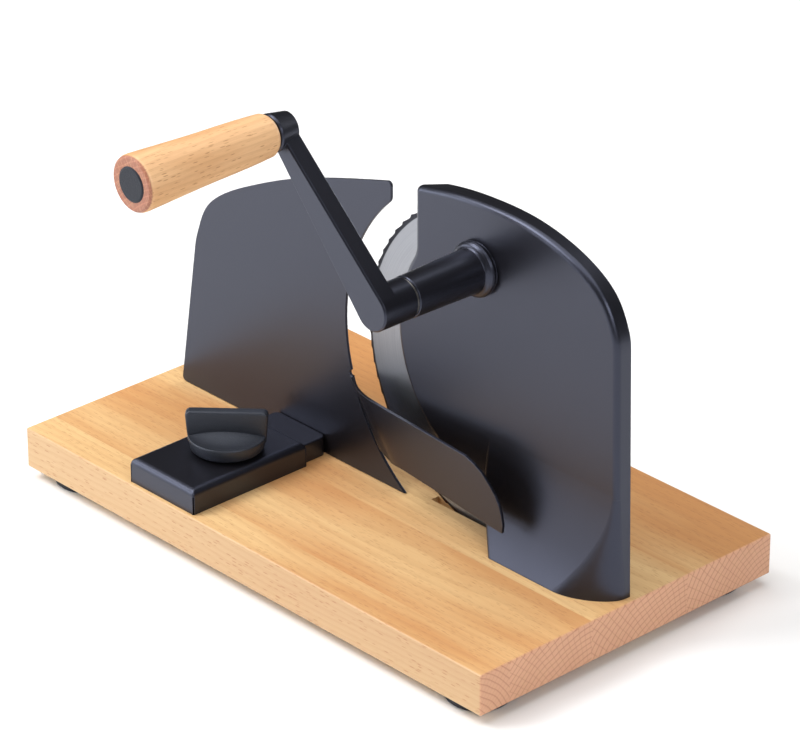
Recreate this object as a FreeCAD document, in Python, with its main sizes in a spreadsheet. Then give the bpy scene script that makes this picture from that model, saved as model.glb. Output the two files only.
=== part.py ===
import FreeCAD, Part, Sketcher
import math
import os
from FreeCAD import Rotation, Vector

# Hand cranked bread slicer. Millimetres, +Z up, X along the board, Y away from the crank's grip.
# The origin lies on the table under the middle of the board.

# Driving dimensions: name, value, what it measures
SIZES = [
    ("board_length", 340.0, "wooden base along X"),
    ("board_width", 200.0, "wooden base along Y"),
    ("board_thickness", 22.5, "wooden base"),
    ("board_edge_round", 1.0, "rounding of the base's arrises"),
    ("foot_diameter", 34.0, "rubber foot"),
    ("foot_height", 6.5, "rubber foot under the base"),
    ("foot_inset_x", 23.0, "foot centre from the base's end"),
    ("foot_inset_y", 21.0, "foot centre from the base's side"),
    ("blade_diameter", 180.0, "circular blade over its teeth"),
    ("blade_thickness", 1.5, "blade sheet"),
    ("blade_axis_x", 71.0, "blade centre along X"),
    ("cutting_plane", 4.0, "rear face of the blade along Y"),
    ("blade_bevel", 3.0, "width of the ground edge"),
    ("tooth_count", 68.0, "scallops on the blade"),
    ("tooth_depth", 1.0, "height of a scallop"),
    ("gear_module", 1.5, "both gears"),
    ("crank_teeth", 32.0, "gear on the crank's shaft"),
    ("blade_teeth", 50.0, "gear on the blade"),
    ("gear_width", 4.0, "both gears along Y"),
    ("gear_backlash", 0.25, "play between the teeth on the pitch circles"),
    ("crank_axis_x", 67.8, "crank shaft along X"),
    ("blade_dip", 6.517, "how far the blade reaches below the base's top face"),
    ("housing_front", 5.5, "housing's face in front of the XZ plane"),
    ("housing_back", 4.0, "housing's rim behind the XZ plane"),
    ("housing_wall", 2.5, "front wall of the casting"),
    ("housing_rim", 1.8, "side wall of the casting"),
    ("housing_round", 3.0, "rounding of the casting's front edge"),
    ("flare_height", 57.0, "height over which the casting's foot flares"),
    ("flare_depth", 14.5, "how far the foot stands in front of the face"),
    ("collar_radius", 14.4, "rounded collar round the crank's tube"),
    ("tube_length", 47.5, "crank's tube in front of the face"),
    ("tube_radius", 11.4, "crank's tube at the collar"),
    ("tube_tip_radius", 10.7, "crank's tube at its front end"),
    ("bush_radius", 8.0, "bearing bush, outside"),
    ("bush_length", 12.0, "bearing bush"),
    ("shaft_radius", 5.0, "crank shaft"),
    ("hub_radius", 10.5, "crank's hub"),
    ("hub_length", 12.0, "crank's hub behind the arm"),
    ("arm_thickness", 9.6, "crank arm along Y"),
    ("arm_tip_width", 8.6, "crank arm beside the knuckle"),
    ("crank_reach_x", 67.8, "grip's axis from the crank's axis along X"),
    ("crank_reach_height", 70.4, "grip's axis above the crank's axis"),
    ("knuckle_radius", 8.0, "knuckle at the arm's back"),
    ("knuckle_front_radius", 9.75, "knuckle at its front"),
    ("knuckle_rise", 2.4, "knuckle in front of the arm's face"),
    ("grip_length", 84.6, "wooden grip"),
    ("grip_neck_radius", 10.9, "grip beside the knuckle"),
    ("grip_end_radius", 14.3, "grip at its thick end"),
    ("spindle_radius", 4.0, "grip's shoulder bolt"),
    ("cap_radius", 8.85, "plug in the grip's end"),
    ("plate_front", 5.5, "stop plate's front face in front of the XZ plane"),
    ("plate_thickness", 1.5, "stop plate sheet"),
    ("plate_lift", 0.5, "stop plate above the base"),
    ("plate_arc_radius", 101.4, "arc of the stop plate round the blade"),
    ("plate_arc_x", 74.2, "centre of that arc along X"),
    ("plate_arc_height", 83.9, "centre of that arc above the base"),
    ("box_left", 88.3, "clamp box, left side from the YZ plane"),
    ("box_width", 49.0, "clamp box along X"),
    ("box_back", 21.6, "clamp box, back end in front of the XZ plane"),
    ("box_length", 76.0, "clamp box along Y"),
    ("box_height", 13.6, "clamp box above the base"),
    ("box_sheet", 1.5, "clamp box wall"),
    ("box_round", 3.6, "clamp box, bends along its top"),
    ("box_corner", 1.0, "clamp box, upright corners"),
    ("tab_width", 6.4, "clamp box's side tabs along X"),
    ("tab_reach", 11.6, "clamp box's front tabs along Y"),
    ("bar_inset", 2.8, "slide bar's right side inside the clamp box's right side"),
    ("bar_length", 68.0, "slide bar along Y"),
    ("bar_height", 10.5, "slide bar"),
    ("bar_wall", 2.5, "slide bar's walls"),
    ("knob_radius", 20.2, "clamp knob's disc"),
    ("knob_lift", 1.5, "knob's underside above the clamp box"),
    ("knob_disc", 7.2, "thickness of the knob's disc"),
    ("knob_taper", 1.3, "how far the disc's side leans in towards its underside"),
    ("wing_length", 42.7, "knob's wing at its top"),
    ("wing_thickness", 6.2, "knob's wing"),
    ("knob_height", 22.0, "knob above the clamp box"),
    ("knob_turned", 44.3, "angle of the knob's wing from the X axis at rest"),
    ("knob_x", -62.2, "knob's axis along X"),
    ("knob_y", -55.0, "knob's axis along Y"),
    ("running_gap", 0.3, "clearance between parts that move"),
    ("shaft_gap", 0.05, "radial clearance of shafts and bolts"),
]

doc = FreeCAD.newDocument("bread_slicer")
sheet = doc.addObject("Spreadsheet::Sheet", "Sizes")
for row, (alias, value, note) in enumerate(SIZES, 1):
    sheet.set(f"A{row}", note)
    sheet.set(f"B{row}", str(value))
    sheet.setAlias(f"B{row}", alias)
doc.recompute()


class Length:
    """A size with its value and the expression that keeps it tied to the sheet."""

    def __init__(self, value, text=None):
        self.value = float(value)
        self.text = text if text is not None else f"({float(value)!r})"

    def __add__(self, other):
        other = as_length(other)
        return Length(self.value + other.value, f"({self.text} + {other.text})")

    def __sub__(self, other):
        other = as_length(other)
        return Length(self.value - other.value, f"({self.text} - {other.text})")

    def __mul__(self, other):
        other = as_length(other)
        return Length(self.value * other.value, f"({self.text} * {other.text})")

    def __truediv__(self, other):
        other = as_length(other)
        return Length(self.value / other.value, f"({self.text} / {other.text})")

    def __radd__(self, other):
        return as_length(other) + self

    def __rsub__(self, other):
        return as_length(other) - self

    def __rmul__(self, other):
        return as_length(other) * self

    def __neg__(self):
        return as_length(0) - self


def as_length(number):
    return number if isinstance(number, Length) else Length(number)


def root(length):
    return Length(math.sqrt(length.value), f"sqrt({length.text})")


def size(alias):
    return Length(getattr(sheet, alias), f"Sizes.{alias}")


# Places that several parts share
base_top = size("foot_height") + size("board_thickness")
blade_radius = size("blade_diameter") / 2
gear_spacing = (size("crank_teeth") + size("blade_teeth")) * size("gear_module") / 2
axes_apart_x = size("blade_axis_x") - size("crank_axis_x")
blade_x = size("blade_axis_x")
blade_z = base_top + blade_radius - size("blade_dip")
crank_x = size("crank_axis_x")
crank_z = blade_z + root(gear_spacing * gear_spacing - axes_apart_x * axes_apart_x)
blade_front = size("cutting_plane") - size("blade_thickness")
wall_inside = size("housing_wall") - size("housing_front")
gap = size("running_gap")
fit = size("shaft_gap")
thrust_flange = Length(0.7)
pin_depth = Length(4.0)
gear_front = wall_inside + thrust_flange + gap
tube_front = -(size("housing_front") + size("tube_length"))
hub_back = tube_front - thrust_flange - gap
arm_back = hub_back - size("hub_length")
arm_front = arm_back - size("arm_thickness")
knuckle_front = arm_front - size("knuckle_rise")
grip_x = crank_x - size("crank_reach_x")
grip_z = crank_z + size("crank_reach_height")
grip_back = knuckle_front - gap
grip_front = grip_back - size("grip_length")

# Fasteners: shank and head radii
BOARD_SCREW = (Length(2.0), Length(4.5), Length(2.4))
HOUSING_SCREW = (Length(2.5), Length(4.8), Length(3.4))
TAB_SCREW = (Length(1.5), Length(2.8), Length(1.8))
HOUSING_SCREW_PLACES = ((97.0, -9.5), (126.0, -10.0), (150.0, -9.5))
housing_screw_reach = Length(10.0)
counterbore_depth = Length(5.0)
foot_recess = Length(4.4)

nodes = []


def keep(part, label):
    part.Label = label
    nodes.append(part)
    return part


def put(part, x=0, y=0, z=0):
    """Ties the part's place to the sheet."""
    for axis, length in zip("xyz", (x, y, z)):
        part.setExpression(f"Placement.Base.{axis}", as_length(length).text)
    return part


def new_body(label):
    body = doc.addObject("PartDesign::Body", label)
    body.Label = label
    return body


def new_sketch(body, role, name, offset=0):
    """An empty sketch on one of the body's own origin planes."""
    sketch = body.newObject("Sketcher::SketchObject", f"{body.Name}_{name}")
    plane = next(item for item in body.Origin.OriginFeatures if item.Role == role)
    sketch.AttachmentSupport = [(plane, "")]
    sketch.MapMode = "FlatFace"
    sketch.setExpression("AttachmentOffset.Base.z", as_length(offset).text)
    return sketch


def pin_point(sketch, edge, end, x, y):
    """Fixes one end of an edge, or a circle's centre, by two distances tied to the sheet."""
    for kind, length in (("DistanceX", x), ("DistanceY", y)):
        length = as_length(length)
        index = sketch.addConstraint(Sketcher.Constraint(kind, -1, 1, edge, end, length.value))
        sketch.setExpression(f"Constraints[{index}]", length.text)


def draw_loop(sketch, points):
    """A closed run of straight edges through points given as pairs of lengths."""
    points = [(as_length(x), as_length(y)) for x, y in points]
    first = sketch.GeometryCount
    for (x0, y0), (x1, y1) in zip(points, points[1:] + points[:1]):
        sketch.addGeometry(Part.LineSegment(Vector(x0.value, y0.value, 0),
                                            Vector(x1.value, y1.value, 0)), False)
    for index, (x, y) in enumerate(points):
        before = first + (index - 1) % len(points)
        sketch.addConstraint(Sketcher.Constraint("Coincident", before, 2, first + index, 1))
        pin_point(sketch, first + index, 1, x, y)


def draw_circle(sketch, x, y, radius):
    x, y, radius = as_length(x), as_length(y), as_length(radius)
    edge = sketch.addGeometry(Part.Circle(Vector(x.value, y.value, 0), Vector(0, 0, 1),
                                          radius.value), False)
    pin_point(sketch, edge, 3, x, y)
    index = sketch.addConstraint(Sketcher.Constraint("Radius", edge, radius.value))
    sketch.setExpression(f"Constraints[{index}]", radius.text)


def draw_box(sketch, x0, x1, y0, y1):
    draw_loop(sketch, [(x0, y0), (x1, y0), (x1, y1), (x0, y1)])


def raise_sketch(body, kind, sketch, length, reverse=False):
    """A Pad or Pocket of the sketch. Every pocket has to take material away."""
    before = body.Shape.Volume if kind == "Pocket" else 0
    feature = body.newObject(f"PartDesign::{kind}", f"{sketch.Name}_{kind}")
    feature.Profile = sketch
    feature.Reversed = reverse
    feature.setExpression("Length", as_length(length).text)
    doc.recompute()
    if kind == "Pocket" and body.Shape.Volume >= before:
        raise ValueError(f"{feature.Name} cuts nothing")
    return feature


def turn_sketch(body, sketch):
    feature = body.newObject("PartDesign::Revolution", f"{sketch.Name}_turned")
    feature.Profile = sketch
    feature.ReferenceAxis = (sketch, ["V_Axis"])
    feature.Angle = 360
    doc.recompute()
    return feature


def round_edges(body, base, radius, wanted, kind="Fillet"):
    """Rounds or chamfers those edges of the base feature that the test wanted picks."""
    names = [f"Edge{number}" for number, edge in enumerate(base.Shape.Edges, 1) if wanted(edge)]
    feature = body.newObject(f"PartDesign::{kind}", f"{base.Name}_{kind}")
    feature.Base = (base, names)
    feature.setExpression("Radius" if kind == "Fillet" else "Size", as_length(radius).text)
    doc.recompute()
    return feature


def turned(label, points, along="y"):
    """A turned body. Points are pairs of radius and place along its axis."""
    body = new_body(label)
    sketch = new_sketch(body, "XY_Plane" if along == "y" else "XZ_Plane", "profile")
    draw_loop(sketch, points)
    turn_sketch(body, sketch)
    return body


def copies(label, pattern, places):
    """One node of separate alike solids: the pattern's shape set at each place."""
    part = doc.addObject("Part::Feature", label)
    solids = []
    for x, y, z in places:
        solid = pattern.Shape.copy()
        solid.translate(Vector(as_length(x).value, as_length(y).value, as_length(z).value))
        solids.append(solid)
    part.Shape = Part.makeCompound(solids)
    return keep(part, label)


def set_shape(label, shape):
    part = doc.addObject("Part::Feature", label)
    part.Shape = shape
    return keep(part, label)


def screw_profile(screw, reach):
    """Half section of a screw whose head lies below zero and whose shank points up."""
    shank, head, head_height = screw
    return [(0, -head_height), (head - 0.8, -head_height), (head, 0.8 - head_height), (head, 0),
            (shank, 0), (shank, reach - shank / 2), (shank / 2, reach), (0, reach)]


def near(first, second):
    return abs(first - second) < 1e-4


# Wooden base with its pockets for screws and for the blade's lower edge
def foot_places():
    away_x = size("board_length") / 2 - size("foot_inset_x")
    away_y = size("board_width") / 2 - size("foot_inset_y")
    return [(away_x * side, away_y * end) for side in (-1, 1) for end in (-1, 1)]


SIDE_TABS = (0.25, 0.75)
FRONT_TABS = (-0.19, 0.30)
TAB_HALF = 5.0
TAB_THICKNESS = 3.0
STUD_RADIUS = Length(2.2)


def tab_boxes():
    """The clamp box's tabs as x0, x1, y0, y1: two along its left side, two along its front."""
    left = size("box_sheet") - size("box_left")
    front = size("box_sheet") - size("box_back") - size("box_length")
    boxes = []
    for share in SIDE_TABS:
        middle = -(size("box_back") + size("box_length") * share)
        boxes.append((left, left + size("tab_width"), middle - TAB_HALF, middle + TAB_HALF))
    for share in FRONT_TABS:
        middle = box_middle() + size("box_width") * share
        boxes.append((middle - TAB_HALF, middle + TAB_HALF, front, front + size("tab_reach")))
    return boxes


def tab_places():
    """The clamp box's screws stand in the middle of its tabs."""
    return [((x0 + x1) / 2, (y0 + y1) / 2) for x0, x1, y0, y1 in tab_boxes()]


def make_board():
    body = new_body("board")
    half_length = size("board_length") / 2
    half_width = size("board_width") / 2
    outline = new_sketch(body, "XY_Plane", "outline", size("foot_height"))
    draw_box(outline, -half_length, half_length, -half_width, half_width)
    block = raise_sketch(body, "Pad", outline, size("board_thickness"))
    round_edges(body, block, size("board_edge_round"), lambda edge: True)

    slot = new_sketch(body, "XY_Plane", "blade_slot", base_top)
    height = blade_z - base_top
    half_slot = root(blade_radius * blade_radius - height * height) + 8
    draw_box(slot, blade_x - half_slot, blade_x + half_slot,
             blade_front - 1.75, size("cutting_plane") + 1.75)
    raise_sketch(body, "Pocket", slot, blade_radius - height + 2)

    pilots = new_sketch(body, "XY_Plane", "foot_pilots", size("foot_height"))
    for x, y in foot_places():
        draw_circle(pilots, x, y, BOARD_SCREW[0] + fit)
    raise_sketch(body, "Pocket", pilots, 12, reverse=True)

    through = new_sketch(body, "XY_Plane", "housing_holes", size("foot_height"))
    sunk = new_sketch(body, "XY_Plane", "housing_heads", size("foot_height"))
    for x, y in HOUSING_SCREW_PLACES:
        draw_circle(through, x, y, HOUSING_SCREW[0] + fit)
        draw_circle(sunk, x, y, HOUSING_SCREW[1] + gap)
    raise_sketch(body, "Pocket", through, size("board_thickness"), reverse=True)
    raise_sketch(body, "Pocket", sunk, counterbore_depth, reverse=True)

    through = new_sketch(body, "XY_Plane", "clamp_holes", size("foot_height"))
    sunk = new_sketch(body, "XY_Plane", "clamp_heads", size("foot_height"))
    for x, y in tab_places():
        draw_circle(through, x, y, TAB_SCREW[0] + fit)
        draw_circle(sunk, x, y, TAB_SCREW[1] + gap)
    raise_sketch(body, "Pocket", through, size("board_thickness"), reverse=True)
    raise_sketch(body, "Pocket", sunk, counterbore_depth, reverse=True)
    keep(body, "board")


def make_feet():
    radius = size("foot_diameter") / 2
    recess = BOARD_SCREW[1] + 1.5
    hole = BOARD_SCREW[0] + fit
    pattern = turned("foot_pattern", [
        (hole, size("foot_height")), (radius - 0.6, size("foot_height")),
        (radius, size("foot_height") - 0.6), (radius - 0.4, 1), (radius - 1.4, 0),
        (recess, 0), (recess, foot_recess), (hole, foot_recess)], along="z")
    copies("rubber_feet", pattern, [(x, y, 0) for x, y in foot_places()])
    pattern = turned("foot_screw_pattern", screw_profile(BOARD_SCREW, Length(14)), along="z")
    copies("foot_screws", pattern, [(x, y, foot_recess) for x, y in foot_places()])


# Cast housing: an upright shell with a flared foot, open at the back for the blade and gears
BELLY = (82.0, 97.0, 71.0)
CROWN = ((26.4, 173.9), (45.3, 177.4), (73.0, 179.7), (100.2, 178.7), (120.0, 174.6),
         (140.5, 166.3), (154.0, 155.0), (160.3, 142.5), (162.2, 131.8))
CROWN_SLOPE = 0.19
HOUSING_LEFT = 23.6
FOOT_LEFT = 88.0
FOOT_UPPER_LEFT = 74.6
FOOT_LEAN = 15.7
FOOT_LEAN_HEIGHT = 40.0
FOOT_RIGHT = 165.8
TAPER_LOW = 135.0
TAPER_LENGTH = 13.4
CORNER_PULL = 0.5523
LONG_PULL = 0.44


def at(x, z, y=0.0):
    return Vector(x, y, z)


def arc_through(first, middle, last):
    return Part.Arc(first, middle, last).toShape()


def right_edge(height):
    """The casting's right side leans in a little towards its crown."""
    top_x, top_z = CROWN[-1]
    return FOOT_RIGHT + (top_x - FOOT_RIGHT) * height / top_z


def crown_curve(inset):
    """The casting's top from its left corner to its right side, or a line inside it."""
    start_tangent = at(1.0, CROWN_SLOPE)
    end_tangent = at(right_edge(0) - right_edge(100), -100.0)
    outside = Part.BSplineCurve()
    outside.interpolate([at(x, z) for x, z in CROWN], InitialTangent=start_tangent,
                        FinalTangent=end_tangent)
    if not inset:
        return outside.toShape()
    points = []
    for x, z in CROWN:
        tangent = outside.tangent(outside.parameter(at(x, z)))[0]
        points.append(at(x, z) + at(tangent.z, -tangent.x) * (inset / tangent.Length))
    inside = Part.BSplineCurve()
    inside.interpolate(points, InitialTangent=start_tangent, FinalTangent=end_tangent)
    return inside.toShape()


def upright_face(lowest, inset=0.0):
    """Outline of the upright shell above the flare in the XZ plane, or of its hollow."""
    belly_x, belly_z, belly_r = BELLY
    inner = 100.0 - inset
    foot_r = FOOT_LEFT - belly_x
    foot_turn = belly_z - belly_r - foot_r
    turn = math.radians(31.2)
    neck_z = belly_z + belly_r * math.sin(turn)
    neck_x = belly_x - belly_r * math.cos(turn)
    neck_r = (HOUSING_LEFT - neck_x) / (1 - math.cos(turn))
    neck_top = neck_z + neck_r * math.sin(turn)
    slope = math.atan(CROWN_SLOPE)
    corner_x, corner_z = CROWN[0]
    corner_r = (corner_x - HOUSING_LEFT) / (1 - math.sin(slope))
    corner_low = corner_z - corner_r * math.cos(slope)

    def bend(x, z, radius, first, last):
        """An arc about (x, z) between two angles in degrees from +X."""
        spots = [at(x + radius * math.cos(math.radians(angle)),
                    z + radius * math.sin(math.radians(angle)))
                 for angle in (first, (first + last) / 2, last)]
        return arc_through(*spots)

    crown = crown_curve(inset)
    arcs = [
        bend(belly_x, foot_turn, foot_r + inset, 0, 90),
        bend(belly_x, belly_z, belly_r - inset, 270, 180 - math.degrees(turn)),
        bend(HOUSING_LEFT - neck_r, neck_top, neck_r + inset, -math.degrees(turn), 0),
        bend(HOUSING_LEFT + corner_r, corner_low, corner_r - inset, 180,
             90 + math.degrees(slope)),
        crown]
    ends = [(edge.firstVertex(True).Point, edge.lastVertex(True).Point) for edge in arcs]
    low_right = at(right_edge(lowest) - inset, lowest)
    corners = [low_right, at(inner, lowest), at(inner, foot_turn), ends[0][0]]
    edges = [Part.LineSegment(first, last).toShape()
             for first, last in zip(corners, corners[1:])]
    edges += arcs[:3]
    edges.append(Part.LineSegment(ends[2][1], ends[3][0]).toShape())
    edges += arcs[3:]
    edges.append(Part.LineSegment(ends[4][1], low_right).toShape())
    return Part.Face(Part.Wire(edges))


def smooth_curve(points):
    curve = Part.BSplineCurve()
    curve.interpolate(points)
    return curve.toShape()


def flare(height):
    """1 at the base, 0 where the flare has run out, on a concave curve."""
    share = max(0.0, 1.0 - height / size("flare_height").value)
    return share ** 1.8


def foot_left(height):
    """The foot's left side leans out of the upright towards the right as it nears the base."""
    return FOOT_UPPER_LEFT + FOOT_LEAN * max(0.0, 1.0 - height / FOOT_LEAN_HEIGHT) ** 1.6


def pulled(start, corner, end, pull):
    """A rounded corner from start to end, drawn towards the corner."""
    curve = Part.BezierCurve()
    curve.setPoles([start, start + (corner - start) * pull, end + (corner - end) * pull, end])
    return curve.toShape()


def foot_section(height, front_wall=0.0, side_wall=0.0, back=None):
    """Plan of the flared foot at a height, or of its hollow where walls are given."""
    grow = flare(height)
    back = size("housing_back").value if back is None else back
    front = front_wall - size("housing_front").value - size("flare_depth").value * grow
    left = foot_left(height) + side_wall
    right = right_edge(height) - side_wall
    corner = max(size("housing_round").value - side_wall, 0.8)
    reach_x = max(size("housing_round").value + 27.0 * grow - side_wall, 0.8)
    reach_y = max(size("housing_round").value + 18.5 * grow - side_wall, 0.8)
    back_left = at(left, height, back)
    left_turn = at(left, height, front + corner)
    front_left = at(left + corner, height, front)
    front_right = at(right - reach_x, height, front)
    right_turn = at(right, height, front + reach_y)
    back_right = at(right, height, back)
    return Part.Wire([
        Part.LineSegment(back_left, left_turn).toShape(),
        pulled(left_turn, at(left, height, front), front_left, CORNER_PULL),
        Part.LineSegment(front_left, front_right).toShape(),
        pulled(front_right, at(right, height, front), right_turn, LONG_PULL),
        Part.LineSegment(right_turn, back_right).toShape(),
        Part.LineSegment(back_right, back_left).toShape()])


def turned_about(x, z, points):
    """A solid turned about an axis along Y at (x, z). Points are radius and Y."""
    face = Part.Face(Part.makePolygon([Vector(radius, y, 0) for radius, y in points + points[:1]]))
    solid = face.revolve(Vector(0, 0, 0), Vector(0, 1, 0), 360)
    solid.translate(Vector(x, 0, z))
    return solid


def make_housing():
    front = size("housing_front").value
    back = size("housing_back").value
    wall = size("housing_wall").value
    rim = size("housing_rim").value
    top = size("flare_height").value
    clear = gap.value
    levels = [top * share for share in (0.0, 0.11, 0.23, 0.37, 0.53, 0.74, 1.0)]
    crank_height = (crank_z - base_top).value
    blade_height = blade_z.value - base_top.value

    plate = upright_face(top - 2).extrude(Vector(0, front + back, 0))
    plate.translate(Vector(0, -front, 0))
    shown = [edge for edge in plate.Edges
             if near(edge.BoundBox.YMin, -front) and near(edge.BoundBox.YMax, -front)
             and not (edge.BoundBox.ZMax < top and edge.BoundBox.XMin > BELLY[0] + 1)]
    plate = plate.makeFillet(size("housing_round").value, shown)
    foot = Part.makeLoft([foot_section(level) for level in levels], True, False)
    outer = plate.fuse(foot)

    low_levels = [-0.5] + levels[1:]
    thicker = 0.3
    foot_hollow = Part.makeLoft([foot_section(level, wall + thicker, rim + thicker, back + 2)
                                 for level in low_levels], True, False)
    hollow = upright_face(top - 8, rim).extrude(Vector(0, front + back + 2, 0))
    hollow.translate(Vector(0, wall - front, 0))
    shell = outer.cut(hollow).cut(foot_hollow)

    # Screw bosses inside the foot, trimmed by the casting's outside
    bosses = []
    for x, y in HOUSING_SCREW_PLACES:
        bosses.append(Part.makeCylinder(5.4, housing_screw_reach.value + 2, Vector(x, y, 0)))
    bosses = [boss.common(outer) for boss in bosses]

    # Collar, tube and the seat of the blade's axle
    tip = tube_front.value
    collar = size("collar_radius").value
    tube = size("tube_radius").value
    profile = [(0, -front + wall), (collar - 0.9, -front + wall), (collar - 0.9, -front - 0.6),
               (collar - 0.2, -front - 1.4), (collar, -front - 2.4), (collar - 0.35, -front - 3.5),
               (collar - 1.3, -front - 4.4), (tube + 0.8, -front - 4.9), (tube, -front - 5.6),
               (size("tube_tip_radius").value, tip + 0.5),
               (size("tube_tip_radius").value - 0.5, tip), (0, tip)]
    boss = turned_about(crank_x.value, crank_height, profile)
    seat = Part.makeCylinder(11, wall - 0.4, Vector(blade_x.value, -front + 0.4, blade_height),
                             Vector(0, 1, 0))
    shell = shell.fuse(bosses + [boss, seat])

    bore = Part.makeCylinder(size("bush_radius").value + fit.value, front + back - tip,
                             Vector(crank_x.value, tip - 1, crank_height), Vector(0, 1, 0))
    socket = Part.makeCylinder(4 + fit.value, 4, Vector(blade_x.value, -front + 1.0, blade_height),
                               Vector(0, 1, 0))

    # The rim tapers away at its upper left corner
    inner = wall - front
    reach = HOUSING_LEFT + TAPER_LENGTH
    plan = [(HOUSING_LEFT - 1.5, inner), (HOUSING_LEFT, inner), (reach, back),
            (reach, back + 2), (HOUSING_LEFT - 1.5, back + 2)]
    taper = Part.Face(Part.makePolygon([at(x, TAPER_LOW, y) for x, y in plan + plan[:1]]))
    taper = taper.extrude(Vector(0, 0, 55))
    relief = Part.makeCylinder(blade_radius.value + 0.7, 10,
                               Vector(blade_x.value, blade_front.value - clear, blade_height),
                               Vector(0, 1, 0))
    pilots = [Part.makeCylinder(HOUSING_SCREW[0].value + fit.value, housing_screw_reach.value + 0.5,
                                Vector(x, y, -0.1)) for x, y in HOUSING_SCREW_PLACES]
    shell = shell.cut([bore, socket, relief, taper] + pilots).removeSplitter()
    part = set_shape("housing", shell)
    put(part, z=base_top)
    pattern = turned("housing_screw_pattern",
                     screw_profile(HOUSING_SCREW, size("board_thickness") - counterbore_depth
                                   + housing_screw_reach), along="z")
    copies("housing_screws", pattern,
           [(x, y, size("foot_height") + counterbore_depth) for x, y in HOUSING_SCREW_PLACES])


# Crank: shaft, bushes, arm, shoulder bolt and grip
def bush_profile(open_end, direction):
    """A flanged bush. The flange stands outside open_end, on the side of direction."""
    inside = size("shaft_radius") + fit
    outside = size("bush_radius")
    flange = size("tube_tip_radius") - 1
    last = open_end + thrust_flange * direction
    far = open_end - size("bush_length") * direction
    points = [(inside, last), (flange, last), (flange, open_end), (outside, open_end),
              (outside, far), (inside, far)]
    return points


def make_crank():
    put(keep(turned("front_bush", bush_profile(tube_front, -1)), "front_bush"), crank_x, 0, crank_z)
    put(keep(turned("rear_bush", bush_profile(wall_inside, 1)), "rear_bush"), crank_x, 0, crank_z)

    radius = size("shaft_radius")
    rear_end = gear_front + size("gear_width")
    front_end = arm_back + 1.5
    shaft = turned("crank_shaft", [(0, front_end), (radius - 0.6, front_end),
                                   (radius, front_end + 0.6), (radius, rear_end), (0, rear_end)])
    keyway = new_sketch(shaft, "XY_Plane", "keyway", radius - 1.5)
    draw_box(keyway, -1.5, 1.5, gear_front - 0.5, rear_end + 1)
    raise_sketch(shaft, "Pocket", keyway, 3, reverse=True)
    cross = new_sketch(shaft, "YZ_Plane", "cross_hole", -10)
    draw_circle(cross, hub_back - size("hub_length") / 2, 0, Length(1.5) + fit)
    raise_sketch(shaft, "Pocket", cross, pin_depth + 10.2, reverse=True)
    put(keep(shaft, "crank_shaft"), crank_x, 0, crank_z)

    pin = new_body("crank_pin")
    pin_sketch = new_sketch(pin, "YZ_Plane", "section", -(size("hub_radius") - 0.4))
    draw_circle(pin_sketch, hub_back - size("hub_length") / 2, 0, 1.5)
    raise_sketch(pin, "Pad", pin_sketch, size("hub_radius") - 0.4 + pin_depth)
    put(keep(pin, "crank_pin"), crank_x, 0, crank_z)
    make_arm()

    shoulder = size("spindle_radius")
    head_back = grip_front + 13
    spindle = turned("grip_spindle", [
        (0, arm_back + 2), (shoulder - 1.4, arm_back + 2), (shoulder - 1, arm_back + 1.6),
        (shoulder - 1, knuckle_front), (shoulder, knuckle_front), (shoulder, head_back),
        (shoulder + 2.5, head_back), (shoulder + 2.5, head_back - 2.4),
        (shoulder + 1.7, head_back - 3.2), (0, head_back - 3.2)])
    put(keep(spindle, "grip_spindle"), grip_x, 0, grip_z)
    make_grip(head_back)


def make_arm():
    """Tapered arm with rounded ends, its hub behind and its knuckle in front."""
    hub = size("hub_radius").value
    tip = size("arm_tip_width").value / 2
    reach_x = -size("crank_reach_x").value
    reach_z = size("crank_reach_height").value
    reach = math.hypot(reach_x, reach_z)
    lean = math.asin((hub - tip) / reach)
    along = math.atan2(reach_z, reach_x)

    def rim(radius, centre_x, centre_z, angle):
        return at(centre_x + radius * math.cos(angle), centre_z + radius * math.sin(angle))

    left, right = along + math.pi / 2 - lean, along - math.pi / 2 + lean
    edges = [
        arc_through(rim(hub, 0, 0, left), rim(hub, 0, 0, along + math.pi), rim(hub, 0, 0, right)),
        Part.LineSegment(rim(hub, 0, 0, right), rim(tip, reach_x, reach_z, right)).toShape(),
        arc_through(rim(tip, reach_x, reach_z, right), rim(tip, reach_x, reach_z, along),
                    rim(tip, reach_x, reach_z, left)),
        Part.LineSegment(rim(tip, reach_x, reach_z, left), rim(hub, 0, 0, left)).toShape()]
    arm = Part.Face(Part.Wire(edges)).extrude(Vector(0, size("arm_thickness").value, 0))
    arm.translate(Vector(0, arm_front.value, 0))
    front_edges = [edge for edge in arm.Edges
                   if near(edge.BoundBox.YMin, arm_front.value)
                   and near(edge.BoundBox.YMax, arm_front.value)]
    arm = arm.makeChamfer(0.8, front_edges)
    barrel = turned_about(0, 0, [(0, hub_back.value), (hub - 0.5, hub_back.value),
                                 (hub, hub_back.value - 0.5), (hub, arm_back.value - 1),
                                 (0, arm_back.value - 1)])
    wide = size("knuckle_front_radius").value
    knuckle = turned_about(reach_x, reach_z, [
        (0, arm_back.value), (size("knuckle_radius").value, arm_back.value),
        (wide, knuckle_front.value + 1.0), (wide - 0.7, knuckle_front.value),
        (0, knuckle_front.value)])
    arm = arm.fuse([barrel, knuckle])
    bore_end = arm_back.value + 1.5 - 0.3
    bore = Part.makeCylinder(size("shaft_radius").value + fit.value, hub_back.value - bore_end + 1,
                             Vector(0, bore_end, 0), Vector(0, 1, 0))
    cross = Part.makeCylinder(1.5 + fit.value, 2 * hub,
                              Vector(-2 * hub, hub_back.value - size("hub_length").value / 2, 0),
                              Vector(1, 0, 0))
    thread = Part.makeCylinder(size("spindle_radius").value - 1 + fit.value, 40,
                               Vector(reach_x, knuckle_front.value - 1, reach_z), Vector(0, 1, 0))
    part = set_shape("crank_arm", arm.cut([bore, cross, thread]).removeSplitter())
    put(part, crank_x, 0, crank_z)


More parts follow.
